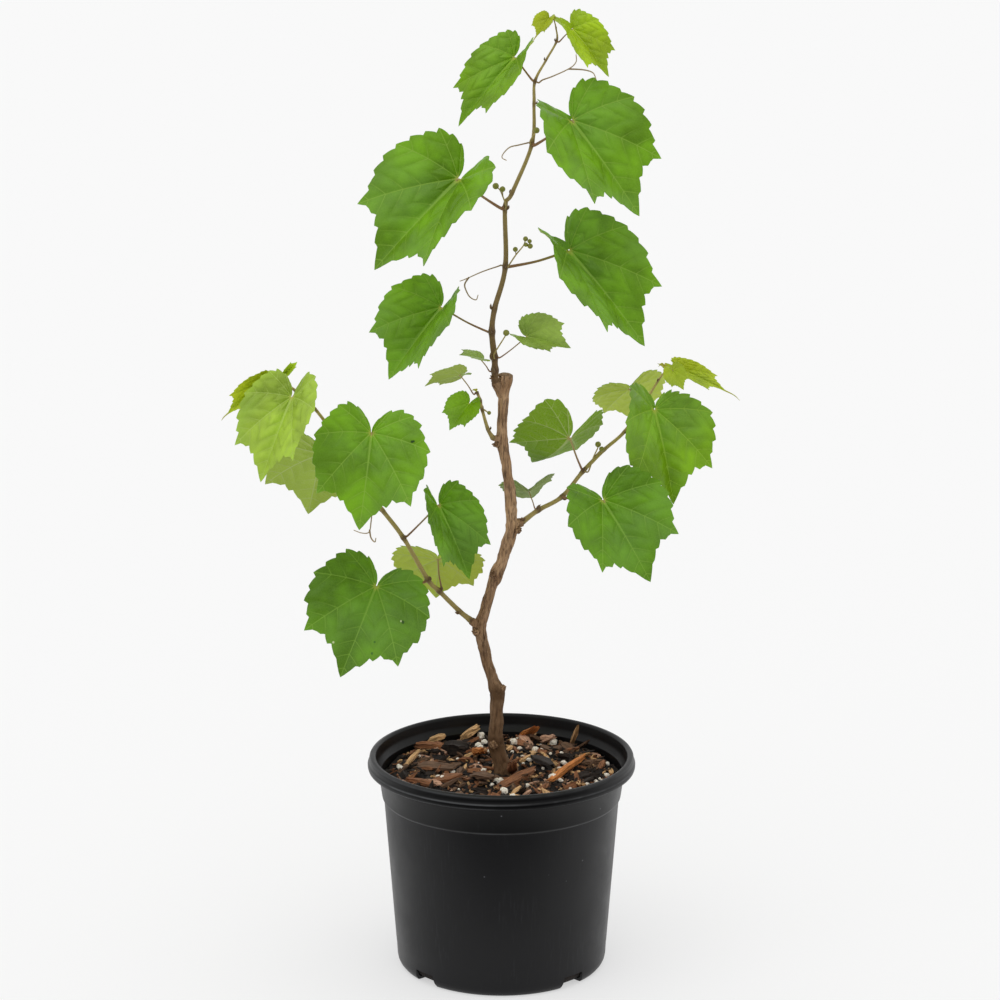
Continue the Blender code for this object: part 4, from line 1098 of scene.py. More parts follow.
def chip_shapes(count, cuts):
    """A few splinters of bark, one unit long, wide and thick, each split and frayed in its own way."""
    shapes = []
    for number in range(count):
        chip = added(bpy.ops.mesh.primitive_cube_add, size=1.0)
        bpy.ops.object.mode_set(mode="EDIT")
        bpy.ops.mesh.subdivide(number_cuts=cuts)
        bpy.ops.object.mode_set(mode="OBJECT")
        shift = Vector((number * 7.3, number * 3.1, 0.0))
        taper = 0.55 + 0.35 * noise.noise(shift)
        for vert in chip.data.vertices:
            end = abs(vert.co.x) * 2
            spot = vert.co.copy()
            vert.co.y *= 1.0 - (1.0 - taper) * end ** 2
            vert.co.z *= 1.0 - 0.5 * end ** 2
            vert.co.x += end * 0.17 * noise.noise(Vector((spot.y * 9, spot.z * 4, 1.0)) + shift)
            vert.co.y += 0.16 * noise.noise(Vector((spot.x * 4, spot.z * 3, 4.0)) + shift)
            vert.co.z += 0.26 * noise.noise(Vector((spot.x * 2.0, spot.y * 3, 7.0)) + shift)
            vert.co.z += 0.22 * noise.noise(Vector((spot.x * 1.0, spot.y * 11, 9.0)) + shift)
        shapes.append(chip)
    return shapes


def add_copy(work, shape, size, turn, place):
    """Adds a copy of a shape to a mesh being built, with a map that gives its grain in millimetres."""
    grain = work.loops.layers.uv.get("grain") or work.loops.layers.uv.new("grain")
    first = len(work.faces)
    mesh = shape.data.copy()
    mesh.transform(Matrix.LocRotScale(Vector(place) * MM, turn, Vector(size) * MM))
    work.from_mesh(mesh)
    bpy.data.meshes.remove(mesh)
    work.faces.ensure_lookup_table()
    flat = turn.to_matrix().inverted()
    for face in work.faces[first:]:
        for loop in face.loops:
            local = flat @ (loop.vert.co / MM - Vector(place))
            loop[grain].uv = (local.x + place[0], local.y + local.z + place[1])
    return work.faces[first:]


def turned_by(heading, tilt, roll):
    """A turn that rolls a chip, tips it up along its length and points it along a heading, in degrees."""
    way = Matrix.Rotation(math.radians(heading), 3, "Z")
    tip = Matrix.Rotation(math.radians(-tilt), 3, "Y")
    spin = Matrix.Rotation(math.radians(roll), 3, "X")
    return (way @ tip @ spin).to_quaternion()


def thrown(dice, reach, least):
    """A random place on the mix, and how far it is from the middle."""
    radius = reach * math.sqrt(dice.uniform(least, 1.0))
    angle = dice.uniform(0, math.tau)
    return radius * math.cos(angle), radius * math.sin(angle), radius


def finished_scatter(name, work, finishes):
    """Makes a piece of loose bits out of a mesh being built, pressed in from the pot's wall."""
    for vert in work.verts:
        away = math.hypot(vert.co.x, vert.co.y) / MM
        if away > SCATTER_RADIUS:
            vert.co.x *= SCATTER_RADIUS / away
            vert.co.y *= SCATTER_RADIUS / away
    mesh = bpy.data.meshes.new(name)
    work.to_mesh(mesh)
    work.free()
    piece = bpy.data.objects.new(name, mesh)
    bpy.context.scene.collection.objects.link(piece)
    for finish in finishes:
        mesh.materials.append(finish)
    return ready(piece, 35.0)


def bark_chips(shapes):
    """The bark on top of the mix: the large chips that show, then smaller ones thrown by a fixed seed."""
    dice = random.Random(41)
    tones = list(CHIP_TONES)
    work = bmesh.new()
    for number, (x, y, length, width, thick, heading, tilt, tone) in enumerate(SHOWN_CHIPS):
        lift = length * math.sin(math.radians(tilt)) * 0.42 + thick * 0.5
        place = (x, y, mix_height(x, y) + lift + 0.4)
        shape = shapes[number % len(shapes)]
        turn = turned_by(heading, tilt, dice.uniform(-12, 12))
        for face in add_copy(work, shape, (length, width, thick), turn, place):
            face.material_index = tones.index(tone)
    for _ in range(CHIP_COUNT):
        x, y, radius = thrown(dice, CHIP_REACH, 0.012)
        length = CHIP_LEAST + CHIP_RANGE * dice.uniform(0.0, 1.0) ** 1.4
        if radius + length * 0.5 > CHIP_SHORTER_PAST or radius < CHIP_SHORTER_WITHIN:
            length *= CHIP_SHORTER
        width = length * dice.uniform(0.13, 0.5)
        thick = min(width, dice.uniform(0.7, 2.4))
        tilt = dice.gauss(0.0, 20.0)
        place = (x, y, mix_height(x, y) + thick * 0.25 + dice.uniform(-0.4, 1.4))
        turn = turned_by(dice.uniform(0, 360), tilt, dice.gauss(0.0, 25.0))
        tone = dice.choice(SCATTERED_TONES)
        for face in add_copy(work, dice.choice(shapes), (length, width, thick), turn, place):
            face.material_index = tones.index(tone)
    return finished_scatter("bark_chips", work, [once(bark_chip, tone) for tone in tones])


def bark_crumbs(shapes):
    """Crumbs and short fibres of bark between the chips."""
    dice = random.Random(7)
    tones = ["umber", "brown", "rust", "tan"]
    work = bmesh.new()
    for _ in range(CRUMB_COUNT):
        x, y, _ = thrown(dice, CRUMB_REACH, 0.008)
        length = dice.uniform(1.2, 4.2)
        size = (length, length * dice.uniform(0.25, 0.8), length * dice.uniform(0.2, 0.5))
        place = (x, y, mix_height(x, y) + dice.uniform(0.0, 0.9))
        turn = turned_by(dice.uniform(0, 360), dice.gauss(0, 30), dice.gauss(0, 40))
        index = dice.choice([0, 0, 0, 0, 1, 1, 2, 3])
        for face in add_copy(work, dice.choice(shapes), size, turn, place):
            face.material_index = index
    return finished_scatter("bark_crumbs", work, [once(bark_chip, tone) for tone in tones])


def perlite_grains():
    """Round pitted grains of perlite, half sunk between the chips."""
    dice = random.Random(23)
    grains = []
    for number in range(4):
        grain = added(bpy.ops.mesh.primitive_ico_sphere_add, subdivisions=3, radius=0.5)
        shift = Vector((number * 5.0, 0.0, 0.0))
        for vert in grain.data.vertices:
            broad = 0.30 * noise.noise(vert.co * 3.0 + shift)
            vert.co *= 1.0 + broad + 0.14 * noise.noise(vert.co * 8.0 + shift)
        grains.append(grain)
    work = bmesh.new()
    for _ in range(PERLITE_COUNT):
        x, y, _ = thrown(dice, PERLITE_REACH, 0.02)
        width = PERLITE_LEAST + PERLITE_RANGE * dice.uniform(0.0, 1.0) ** 2
        place = (x, y, mix_height(x, y) + width * 0.3 + 0.9)
        size = (width * dice.uniform(0.9, 1.35), width, width * dice.uniform(0.7, 1.0))
        turn = turned_by(dice.uniform(0, 360), dice.uniform(-30, 30), dice.uniform(-30, 30))
        add_copy(work, dice.choice(grains), size, turn, place)
    for grain in grains:
        bpy.data.objects.remove(grain, do_unlink=True)
    return finished_scatter("perlite_grains", work, [once(perlite)])


def bark_relief(seed, depth):
    """Long fibres and shallow furrows that wind slowly round a limb."""
    def relief(angle, along, radius):
        ring = Vector((math.cos(angle), math.sin(angle), 0.0))
        fibres = noise.noise(ring * 2.6 + Vector((seed, 0.0, along * 0.045)))
        cracks = abs(noise.noise(ring * 3.4 + Vector((0.0, seed, along * 0.07 + 5.0))))
        lumps = noise.noise(ring * 0.9 + Vector((seed, seed, along * 0.12)))
        fine = noise.noise(ring * 7.0 + Vector((seed, 0.0, along * 0.3)))
        split = max(0.0, 0.16 - cracks) * 4.0
        return depth * (fibres * 0.9 - split + lumps * 0.8 + fine * 0.25) * radius / 3.0
    return relief


def lump(place, radius, finish, seed):
    """A knot or pruned bud: a rough ball of old wood with dark patches."""
    piece = added(bpy.ops.mesh.primitive_ico_sphere_add, subdivisions=4, radius=radius * MM)
    drop_map(piece)
    piece.name = "knot"
    shift = Vector((seed, seed * 0.7, 0.0))
    dark = piece.data.attributes.new("dark", "FLOAT", "POINT")
    piece.data.attributes.new("youth", "FLOAT", "POINT")
    for number, vert in enumerate(piece.data.vertices):
        spot = vert.co.normalized()
        rough = 0.20 * noise.noise(spot * 2.2 + shift) + 0.10 * noise.noise(spot * 6.0 + shift)
        vert.co = vert.co * (1.0 + rough) + Vector(place) * MM
        dark.data[number].value = clamped(0.35 + 2.2 * noise.noise(spot * 2.6 + shift))
    piece.data.materials.append(finish)
    return piece


def bud_scales(place, way, count, seed, finish):
    """A tuft of dry pointed scales that fans out round one direction."""
    dice = random.Random(seed)
    way = Vector(way).normalized()
    tuft = []
    for _ in range(count):
        lean = Vector((dice.uniform(-1, 1), dice.uniform(-1, 1), dice.uniform(-1, 1)))
        point = (way + lean * 0.75).normalized()
        start = Vector(place) + lean * 0.9 - point * 0.8
        length = dice.uniform(1.0, 2.2)
        places = [start, start + point * length * 0.6, start + point * length + way * length * 0.15]
        radii = [dice.uniform(0.6, 0.95), 0.6, 0.15]
        tuft.append(tube("bud_scale", places, radii, 3, 8, finish, dark=(0.9, -0.5)))
    return tuft


def trunk():
    """The old trunk: fibrous bark with knots, the burrs that its canes spring from, and its pruned top."""
    bark = once(old_bark)
    route = smooth_route([row[:3] for row in TRUNK], TRUNK_STEPS)
    radii = eased([row[3] * 1.02 for row in TRUNK], TRUNK_STEPS)
    dark = []
    for place in route:
        foot = min(0.85, clamped((DARK_FOOT - place.z) / DARK_FOOT_SPAN))
        bends = sum(strong * math.exp(-((place.z - level) / wide) ** 2) for level, wide, strong in DARK_BENDS)
        dark.append(min(1.0, foot + bends))
    pieces = [limb("old_trunk", route, radii, 48, bark, bark_relief(2.0, 0.8), dark=dark)]
    for number, (root, end, radius) in enumerate(BURRS.values()):
        way = Vector(end) - Vector(root)
        places = [Vector(root) + way * t for t in (0.0, 0.35, 0.7, 1.0, 1.12)]
        radii = [radius * 0.95, radius, radius * 0.98, radius * 0.9, radius * 0.55]
        relief = bark_relief(5.0 + number, 0.7)
        pieces.append(tube("burr", places, radii, 6, 32, bark, dark=(0.0, 0.55), relief=relief))
    for number, (place, radius) in enumerate(KNOTS):
        pieces.append(lump(place, radius, bark, number * 3.7 + 1.0))
    places, radii = zip(*SPUR)
    pieces.append(tube("spur", places, radii, 6, 32, bark, dark=(0.3, 0.0), relief=bark_relief(12.0, 0.7)))
    for number, (place, way, count) in enumerate(TUFTS):
        pieces += bud_scales(place, way, count, number, bark)
    top, before = Vector(TRUNK[-1][:3]), Vector(TRUNK[-2][:3])
    way = (top - before).normalized()
    stub = [top - way * 1.0, top + way * 0.4, top + way * 0.7]
    pieces.append(limb("stub_end", stub, [3.9, 3.7, 2.9], 32, once(cut_wood), bark_relief(9.0, 0.5)))
    for number in range(4):
        angle = math.tau * number / 4 + 0.4
        edge = top + Vector((math.cos(angle), math.sin(angle), 0.0)) * 3.2
        pieces += bud_scales(edge, (math.cos(angle) * 0.2, math.sin(angle) * 0.2, 1.0), 1, 30 + number, bark)
    piece = join("vine_trunk", pieces)
    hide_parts("trunk")
    return ready(piece, 60.0)


def bearing_nodes(cane):
    """The nodes of a cane that bear a leaf, a tendril or fruit."""
    nodes = {leaf.node for leaf in LEAVES if leaf.cane == cane}
    for growth in (*TENDRILS.values(), *FRUIT_CLUSTERS.values()):
        if growth[0] == cane:
            nodes.add(growth[1])
    return nodes


def node_radius(cane, number):
    """A cane's radius at a node, with its swelling."""
    return CANES[cane][number][1] * (SWELLING if number in bearing_nodes(cane) else 1.0 + BARE_SWELLING)


def node_frame(cane, number):
    """The place of a cane's node, and the way that the cane runs there."""
    places = [Vector(place) for place, _ in CANES[cane]]
    ahead = places[min(number + 1, len(places) - 1)]
    return places[number], (ahead - places[number - 1]).normalized()


def seat(cane, number, towards):
    """Where a stalk starts: on the flank of its node, on the side that faces its way."""
    place, tangent = node_frame(cane, number)
    way = Vector(towards) - place
    way = (way - tangent * way.dot(tangent)).normalized()
    return place + way * node_radius(cane, number), way


def cane(name, seed):
    """One cane: slightly ribbed runs between nodes, which swell and darken, and a bud beside each stalk."""
    rows = CANES[name]
    route = smooth_route([place for place, _ in rows], CANE_STEPS)
    base = eased([radius for _, radius in rows], CANE_STEPS)
    bearing = bearing_nodes(name)
    girths, dark = [], []
    for number, radius in enumerate(base):
        nearest = round(number / CANE_STEPS)
        apart = (route[number] - route[nearest * CANE_STEPS]).length
        swell = SWELLING - 1.0 if nearest in bearing else BARE_SWELLING
        bulge = math.exp(-(apart / 1.9) ** 2)
        girths.append(radius * (1.0 + swell * bulge))
        dark.append(min(1.0, (0.85 if nearest in bearing else 0.5) * math.exp(-(apart / 2.2) ** 2)))

    def ribs(angle, along, radius):
        rough = noise.noise(Vector((math.cos(angle) * 2, math.sin(angle) * 2, along * 0.12 + seed)))
        return radius * (0.025 * math.sin(angle * 9 + along * 0.02) + 0.06 * rough)

    finish = once(green_cane)
    pieces = [limb(name + "_bark", route, girths, 20, finish, ribs, CANE_YOUTH[name], dark)]
    for number in sorted(bearing | set(range(1, len(rows) - 1))):
        pieces.append(bud(name, number, finish))
    piece = join(name + "_bark", pieces)
    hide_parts(name)
    return ready(piece, 60.0)


def bud(name, number, finish):
    """A small pointed bud that stands off a node."""
    dice = random.Random(f"{name} {number}")
    place, tangent = node_frame(name, number)
    turn = dice.uniform(0, math.tau)
    side = tangent.cross(Vector((0.2, 1.0, 0.1))).normalized()
    out = side * math.cos(turn) + tangent.cross(side) * math.sin(turn)
    radius = node_radius(name, number)
    size = max(0.9, radius * 0.9)
    start = place + out * radius * 0.5
    places = [
        start,
        start + out * size * 0.8,
        start + out * size * 1.2 + tangent * size * 0.7,
        start + out * size * 1.3 + tangent * size * 1.6,
    ]
    radii = [size * 0.55, size * 0.55, size * 0.42, size * 0.08]
    return tube("bud", places, radii, 3, 10, finish, dark=(0.8, 0.0), youth=(0.2, 0.6))


def margin_reach(angle):
    """How far the smooth margin lies from the petiole at an angle off the midrib."""
    for (low, near), (high, far) in zip(MARGIN, MARGIN[1:]):
        if angle <= high:
            return near + (far - near) * (angle - low) / (high - low)
    return MARGIN[-1][1]


def tooth_height(angle, heights):
    """How far a tooth stands out at an angle off the midrib. Teeth lean towards the blade's tip."""
    for number, (low, high) in enumerate(zip(TOOTH_BEARINGS, TOOTH_BEARINGS[1:])):
        if angle <= high:
            share = (angle - low) / (high - low)
            if share < TOOTH_LEAN:
                return heights[number] * (1.0 - share / TOOTH_LEAN) ** 0.75
            return heights[number + 1] * (share - TOOTH_LEAN) / (1.0 - TOOTH_LEAN)
    return 0.0


def column_bearings(steps):
    """Signed bearings off the midrib of a blade's columns, from one side of its notch round to the other."""
    half = []
    for low, high in zip(TOOTH_BEARINGS, TOOTH_BEARINGS[1:]):
        half += [low + (high - low) * step for step in steps]
    half.append(TOOTH_BEARINGS[-1])
    return [-bearing for bearing in reversed(half[1:])] + half


def vein_distances(a, b):
    """How far a point of a flat blade lies along its nearest main vein, and how far off it."""
    bearing = math.degrees(math.atan2(b, a))
    nearest = min(VEIN_BEARINGS, key=lambda vein: abs(vein - bearing))
    away = math.radians(bearing - nearest)
    reach = math.hypot(a, b)
    return reach * math.cos(away), reach * abs(math.sin(away))


def side_vein_phase(x, y):
    """Where a point lies between side veins, which are at whole numbers."""
    return (x - SIDE_VEIN_SLANT * y - SIDE_VEIN_CURVE * y * y) / SIDE_VEIN_PITCH


def bake_cells(piece, points, faces, cell, cells_in_row):
    """Lays a blade's two sides out in cells of their own, with the cut edge round the under side's cell."""
    layer = piece.data.uv_layers["OFBake"].data
    for face in piece.data.polygons:
        side = 0 if face.index < faces else 1
        low, left = divmod(cell * 2 + side, cells_in_row)
        for loop in face.loop_indices:
            a, b = layer[loop].uv
            if face.index >= faces * 2 and piece.data.loops[loop].vertex_index < points:
                a, b = a * CUT_EDGE_OUT, b * CUT_EDGE_OUT
            right = left + CELL_EDGE + CELL_SPAN * (b + CHART_LEFT) / CHART_SIZE
            height = low + CELL_EDGE + CELL_SPAN * (a + CHART_LOW) / CHART_SIZE
            layer[loop].uv = (right / cells_in_row, height / cells_in_row)


def leaf_frame(leaf):
    """A blade's junction, the way that it runs, its length and the way that its upper side faces."""
    junction = Vector(leaf.junction)
    reach = Vector(leaf.tip) - junction
    along = reach.normalized()
    front = (FRONT - along * FRONT.dot(along)).normalized()
    roll = math.radians(leaf.roll)
    return junction, along, reach.length, front * math.cos(roll) + along.cross(front) * math.sin(roll)


def blade(leaf, cell, cells_in_row):
    """A leaf's blade: a disc drawn out to a toothed heart, folded on its midrib, with veins and blisters."""
    junction, along, length, up = leaf_frame(leaf)
    across = along.cross(up)
    fold = math.radians(leaf.fold)
    small = length < SMALL_BLADE
    columns = column_bearings(TOOTH_STEPS[::2] if small else TOOTH_STEPS)
    rows = SMALL_BLADE_ROWS if small else BLADE_ROWS
    dice = random.Random(leaf.name)
    heights = {}
    for side in (-1, 1):
        heights[side] = [dice.uniform(0.65, 1.3) for _ in TOOTH_BEARINGS]
        for number, height in SET_TEETH.items():
            heights[side][number] = height
    waves = [(dice.uniform(2.0, 5.0), dice.uniform(0, math.tau), dice.uniform(0.5, 1.0)) for _ in range(3)]
    lobe_side, curl, growth = BASE_LOBES.get(leaf.name, (0, 0, 0.0))
    bow = BLADE_BOWS.get(leaf.name, BLADE_BOW)
    least, most = NOTCH_LEAN_ROLLS
    notch_lean = math.copysign(NOTCH_LEAN, leaf.roll) if least <= abs(leaf.roll) <= most else 0.0
    swelling = BLISTER * (YOUNG_BLISTER if leaf.tone in ("light", "young", "newest") else 1.0)
    charts = {}

    def place(column, line):
        bearing = columns[column]
        side = 1.0 if bearing > 0 else -1.0
        angle = abs(bearing)
        share = (line / rows) ** ROW_CROWDING
        reach = margin_reach(angle) * share
        chart_a = reach * math.cos(math.radians(angle))
        chart_b = reach * math.sin(math.radians(angle)) * side
        if side == lobe_side:
            reach *= 1.0 + growth * clamped((angle - LOBE_GROWS_FROM) / LOBE_GROWS_OVER)
        tooth = TOOTH * (tooth_height(angle, heights[int(side)]) - TOOTH_MIDDLE)
        reach += tooth * share ** 5 * min(1.0, (180 - angle) / 20)
        lean = notch_lean * side * clamped((angle - NOTCH_LEAN_FROM) / NOTCH_LEAN_OVER)
        sweep = VEIN_SWEEP * math.sin(math.radians(angle)) * (1.0 - share)
        swept = math.radians(angle - lean + sweep)
        a = reach * math.cos(swept)
        b = reach * math.sin(swept) * leaf.width
        x, y = vein_distances(reach * math.cos(math.radians(angle)), reach * math.sin(math.radians(angle)))
        charts[column, line] = (x, y, chart_a, chart_b)
        bend = fold * (1.0 + FOLD_EASE * (0.35 - a))
        if side == lobe_side:
            bend += math.radians(curl) * clamped((LOBE_CURLS_FROM - a) / LOBE_CURLS_OVER)
        soft = math.sqrt(b * b + CREASE * CREASE) - CREASE
        height = soft * math.sin(bend) * (1.0 - HALF_CURL * b) + bow * a * (1.0 - a)
        groove = -VEIN_GROOVE * math.exp(-(y / VEIN_HALF_WIDTH) ** 2) * max(0.0, 1.0 - 0.8 * x)
        groove -= VEIN_VALLEY * math.exp(-(y / VALLEY_HALF_WIDTH) ** 2) * max(0.0, 1.0 - 0.6 * x)
        pillow = abs(math.sin(math.pi * side_vein_phase(x, y))) ** 0.6 - 0.5
        blister = swelling * pillow * min(1.0, y / SIDE_VEIN_FADE) * min(1.0, 5 * (1 - share))
        ruffle = sum(size * math.sin(pace * swept * side + start) for pace, start, size in waves)
        ruffle *= RUFFLE * share ** 2.5 * min(1.0, angle / 12.0)
        normal = up * math.cos(bend) - across * (side * math.sin(bend))
        spot = along * a + across * (side * b * math.cos(bend)) + up * height
        return junction + length * (spot + normal * (groove + blister + ruffle))

    piece = sheet(leaf.name + "_blade", len(columns) - 1, rows, place)
    for name, first in (("veins", 0), ("OFBake", 2)):
        chart = piece.data.uv_layers.new(name=name)
        for loop, spot in zip(piece.data.loops, chart.data):
            line, column = divmod(loop.vertex_index, len(columns))
            spot.uv = charts[column, line][first:first + 2]
    weld(piece, fill=False)
    facing = sum((face.normal * face.area for face in piece.data.polygons), Vector())
    if facing.dot(up) < 0.0:
        piece.data.flip_normals()
    points, faces = len(piece.data.vertices), len(piece.data.polygons)
    piece.data.materials.append(once(upper_leaf, leaf.tone))
    piece.data.materials.append(once(under_leaf, leaf.tone))
    only(piece)
    solid = piece.modifiers.new("Thickness", "SOLIDIFY")
    solid.thickness = max(BLADE_THICKNESS * length, THINNEST_BLADE) * MM
    solid.offset = 0.0
    solid.material_offset = 1
    bpy.ops.object.modifier_apply(modifier=solid.name)
    bake_cells(piece, points, faces, cell, cells_in_row)
    return piece


def petiole(leaf):
    """A leaf's stalk: flared where it leaves its node, and its end laid along its blade's under side."""
    junction, along, length, up = leaf_frame(leaf)
    start, out = seat(leaf.cane, leaf.node, junction)
    radius = max(PETIOLE_RADIUS * length, PETIOLE_LEAST_RADIUS)
    sunk = up * length * (VEIN_GROOVE + VEIN_VALLEY)
    bowed = up * length * BLADE_BOWS.get(leaf.name, BLADE_BOW) * PETIOLE_OVERLAP
    reach = (junction - start).length
    middle = (start + junction) / 2 - up * (reach * PETIOLE_SAG) - Vector((0, 0, reach * PETIOLE_SAG / 2))
    lead = min(1.5, reach * 0.2)
    places = [
        start - out * radius * 0.8,
        start + out * lead,
        middle,
        junction - sunk - up * radius * 1.2,
        junction - sunk + bowed + along * length * PETIOLE_OVERLAP - up * radius * 0.5,
    ]
    radii = [radius * 1.7, radius * 1.25, radius, radius * 1.1, radius * 0.6]
    return tube(leaf.name + "_petiole", places, radii, 9, 12, once(petiole_skin))


def blades_and_petioles():
    """All the leaves, joined by cane, blades apart from petioles."""
    leaves = {leaf.name: leaf for leaf in LEAVES}
    for group, names in BLADE_GROUPS.items():
        cells_in_row = math.ceil(math.sqrt(2 * len(names)))
        piece = join(group, [blade(leaves[name], cell, cells_in_row) for cell, name in enumerate(names)])
        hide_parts(*names)
        ready(piece, 55.0)
    stalks = join("petioles", [petiole(leaf) for leaf in LEAVES])
    ready(stalks, 60.0)


def shoot_tips():
    """The curled buds at the canes' ends, and the threads that young blades end in."""
    pieces = []
    finish = once(young_shoot)
    for number, (place, way, count, length) in enumerate(SHOOT_TIPS):
        dice = random.Random(90 + number)
        for _ in range(count):
            lean = Vector((dice.uniform(-1, 1), dice.uniform(-1, 1), dice.uniform(-0.6, 1)))
            point = (Vector(way).normalized() + lean * 0.7).normalized()
            curl = Vector((dice.uniform(-1, 1), dice.uniform(-1, 1), dice.uniform(-1, 0.2))) * 0.3
            reach = length * dice.uniform(0.5, 1.0)
            start = Vector(place) - point * 0.6
            bent = start + (point + curl * 0.6) * reach * 0.85
            places = [start, start + point * reach * 0.5, bent, start + (point + curl * 2.0) * reach]
            radii = [0.3, dice.uniform(0.45, 0.85), 0.55, 0.1]
            pieces.append(tube("curled_bud", places, radii, 4, 10, finish))
    for leaf in LEAVES:
        if leaf.name in BLADE_TAILS:
            _, way, _, _ = leaf_frame(leaf)
            tip = Vector(leaf.tip)
            long = BLADE_TAILS[leaf.name]
            end = tip + way * long * 0.9 - Vector((0, 0, long * 0.15))
            places = [tip - way * 1.5, tip + way * long * 0.5, end]
            pieces.append(tube("blade_tail", places, [0.45, 0.3, 0.12], 5, 8, finish))
    piece = join("shoot_tips", pieces)
    return ready(piece, 60.0)


def tendrils():
    """The tendrils, wiry stalks that curl, most of them forked."""
    pieces = []
    finish = once(tendril_skin)
    for name, (cane_name, number, stalk, fork) in TENDRILS.items():
        start, out = seat(cane_name, number, stalk[0])
        arms = [[start - out * 0.4, start + out * 1.5, *stalk]]
        if fork:
            arms.append(fork)
        for points in arms:
            route = smooth_route(points, 7)
            last = len(route) - 1
            girths = [TENDRIL_RADIUS * (1.25 - 0.6 * i / last) for i in range(last + 1)]
            pieces.append(limb(name, route, girths, 10, finish))
    piece = join("tendril_stalks", pieces)
    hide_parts(*TENDRILS)
    return ready(piece, 60.0)


def fruit_ball(place, radius, seed):
    """One small fruit: a slightly lobed ball with a dimple where its flower was."""
    piece = added(bpy.ops.mesh.primitive_ico_sphere_add, subdivisions=4, radius=1.0)
    drop_map(piece)
    dice = random.Random(seed)
    crown = Vector((dice.uniform(-0.5, 0.5), dice.uniform(-1.0, -0.2), dice.uniform(0.2, 1.0))).normalized()
    for vert in piece.data.vertices:
        spot = vert.co.normalized()
        dimple = 0.16 * math.exp(-((spot - crown).length / 0.28) ** 2)
        lobes = 0.03 * noise.noise(spot * 2.0 + Vector((seed, 0, 0)))
        vert.co = (spot * (1.0 - dimple + lobes) * radius + Vector(place)) * MM
    piece.data.materials.append(once(unripe_fruit))
    return piece


def fruit():
    """The clusters of tiny fruit on their stems."""
    balls, stems = [], []
    for number, (name, (cane_name, joint, stem, fruits)) in enumerate(FRUIT_CLUSTERS.items()):
        start, out = seat(cane_name, joint, stem[0])
        route = smooth_route([start - out * 0.3, start + out * 0.8, *stem, fruits[0][0]], 5)
        girths = [STEM_RADIUS * (1.3 - 0.4 * i / (len(route) - 1)) for i in range(len(route))]
        stems.append(limb(name + "_stem", route, girths, 10, once(green_cane), youth=(0.5, 1.0)))
        for fork, (place, _) in zip(stem[1:], fruits[1:]):
            route = smooth_route([fork, (Vector(fork) + Vector(place)) / 2, place], 4)
            girths = [STEM_RADIUS * 0.8] * len(route)
            stems.append(limb(name + "_stem", route, girths, 10, once(green_cane)))
        for count, (place, radius) in enumerate(fruits):
            balls.append(fruit_ball(place, radius, number * 5 + count))
    piece = join("young_fruit", balls)
    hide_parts(*FRUIT_CLUSTERS)
    ready(piece, 60.0)
    stalks = join("fruit_stems", stems)
    ready(stalks, 60.0)


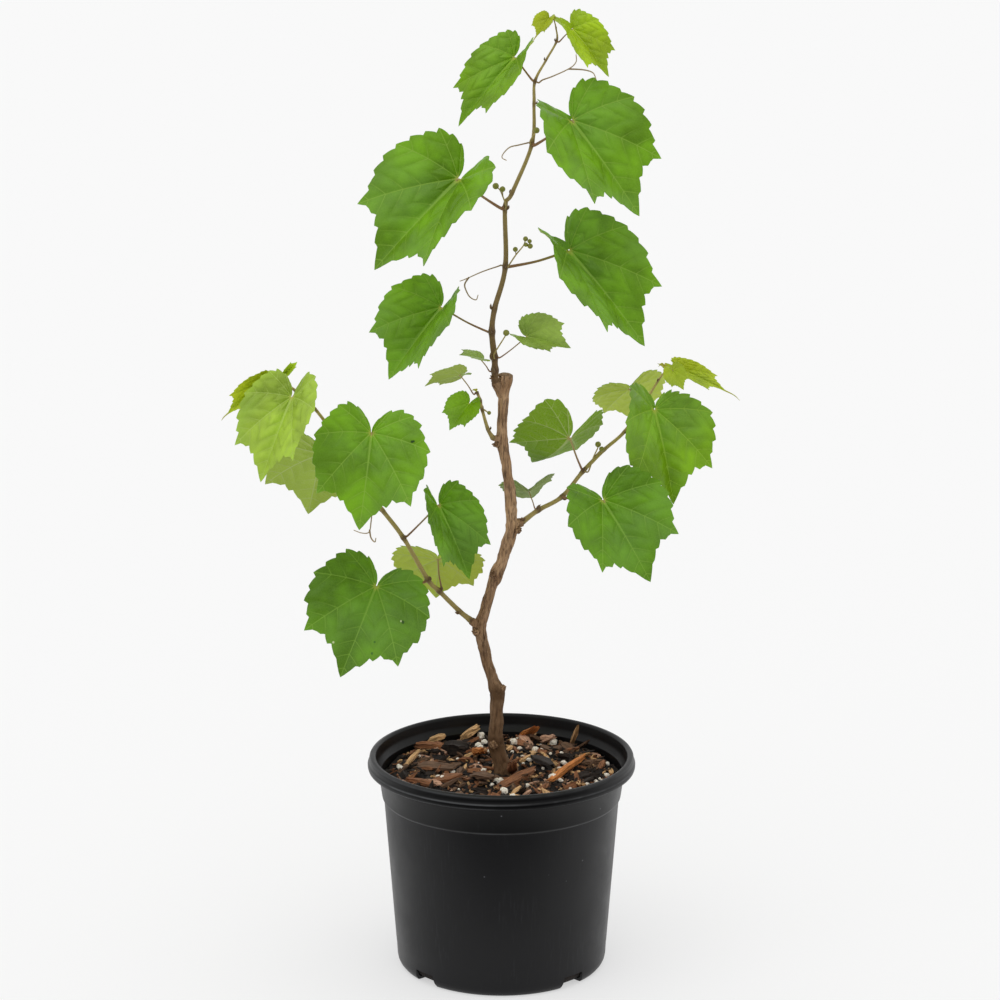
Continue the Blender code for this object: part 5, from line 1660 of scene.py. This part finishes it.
def floor():
    """A wide pale floor that glows, so that shadows stay faint. The pot mirrors a dim room before it."""
    ground = added(bpy.ops.mesh.primitive_plane_add, size=60.0)
    ground.name = "floor"
    made, tree = new_material("studio_floor", 0.9, specular=0.0)
    shader = tree.nodes["Principled BSDF"]
    shader.inputs["Base Color"].default_value = (0.42, 0.42, 0.42, 1.0)
    shader.inputs["Emission Color"].default_value = (1.0, 1.0, 1.0, 1.0)
    shader.inputs["Emission Strength"].default_value = FLOOR_GLOW
    dim = node(tree, "Emission", {"Strength": 0.0})
    place = node(tree, "TexCoord", {}, "Object")
    near = node(tree, "SeparateXYZ", {0: place}, "Y")
    front = node(tree, "MapRange", {0: near, 1: DIM_FLOOR_FROM * MM, 2: DIM_FLOOR_TO * MM})
    mirrored = node(tree, "LightPath", {}, "Is Glossy Ray")
    share = node(tree, "Math", {0: front, 1: mirrored}, operation="MULTIPLY")
    mixed = node(tree, "MixShader", {0: share, 1: shader.outputs[0], 2: dim})
    tree.links.new(mixed, tree.nodes["Material Output"].inputs["Surface"])
    ground.data.materials.append(made)


def light():
    """Soft studio light: a bright surround, dimmer behind the camera, and a broad key from the upper left."""
    world = bpy.data.worlds.new("studio")
    world.use_nodes = True
    tree = world.node_tree
    sky = tree.nodes["Background"]
    sky.inputs["Color"].default_value = (1.0, 1.0, 1.0, 1.0)
    way = node(tree, "TexCoord", {}, "Generated")
    backwards = node(tree, "SeparateXYZ", {0: way}, 1)
    strength = node(tree, "MapRange", {0: backwards, 1: -0.9, 2: 0.2, 3: 0.3, 4: 0.95})
    tree.links.new(strength, sky.inputs["Strength"])
    bpy.context.scene.world = world
    for name, strength, spread, tip, turn in SUNS:
        lamp = bpy.data.lights.new(name, "SUN")
        lamp.energy = strength
        lamp.angle = math.radians(spread)
        holder = bpy.data.objects.new(name, lamp)
        holder.rotation_euler = (math.radians(tip), 0.0, math.radians(turn))
        bpy.context.scene.collection.objects.link(holder)


def camera():
    """A long lens, a little above the plant and tipped down."""
    lens = bpy.data.cameras.new("camera")
    lens.lens = CAMERA_LENS
    lens.sensor_width = 36.0
    lens.shift_x = CAMERA_SHIFT
    lens.clip_end = 60.0
    holder = bpy.data.objects.new("camera", lens)
    holder.location = (0.0, -CAMERA_DISTANCE * MM, CAMERA_HEIGHT * MM)
    holder.rotation_euler = (math.radians(90.0 - CAMERA_PITCH), 0.0, 0.0)
    bpy.context.scene.collection.objects.link(holder)
    bpy.context.scene.camera = holder


def main():
    """Sets up the studio and builds the plant from its pot up."""
    bpy.context.scene.view_settings.view_transform = "Standard"
    camera()
    light()
    floor()
    nursery_pot()
    potting_mix()
    shapes = chip_shapes(8, 4)
    small_shapes = chip_shapes(6, 1)
    bark_chips(shapes)
    bark_crumbs(small_shapes)
    for shape in shapes + small_shapes:
        bpy.data.objects.remove(shape, do_unlink=True)
    perlite_grains()
    trunk()
    for number, name in enumerate(CANES):
        cane(name, number * 11.0)
    blades_and_petioles()
    shoot_tips()
    tendrils()
    fruit()


main()
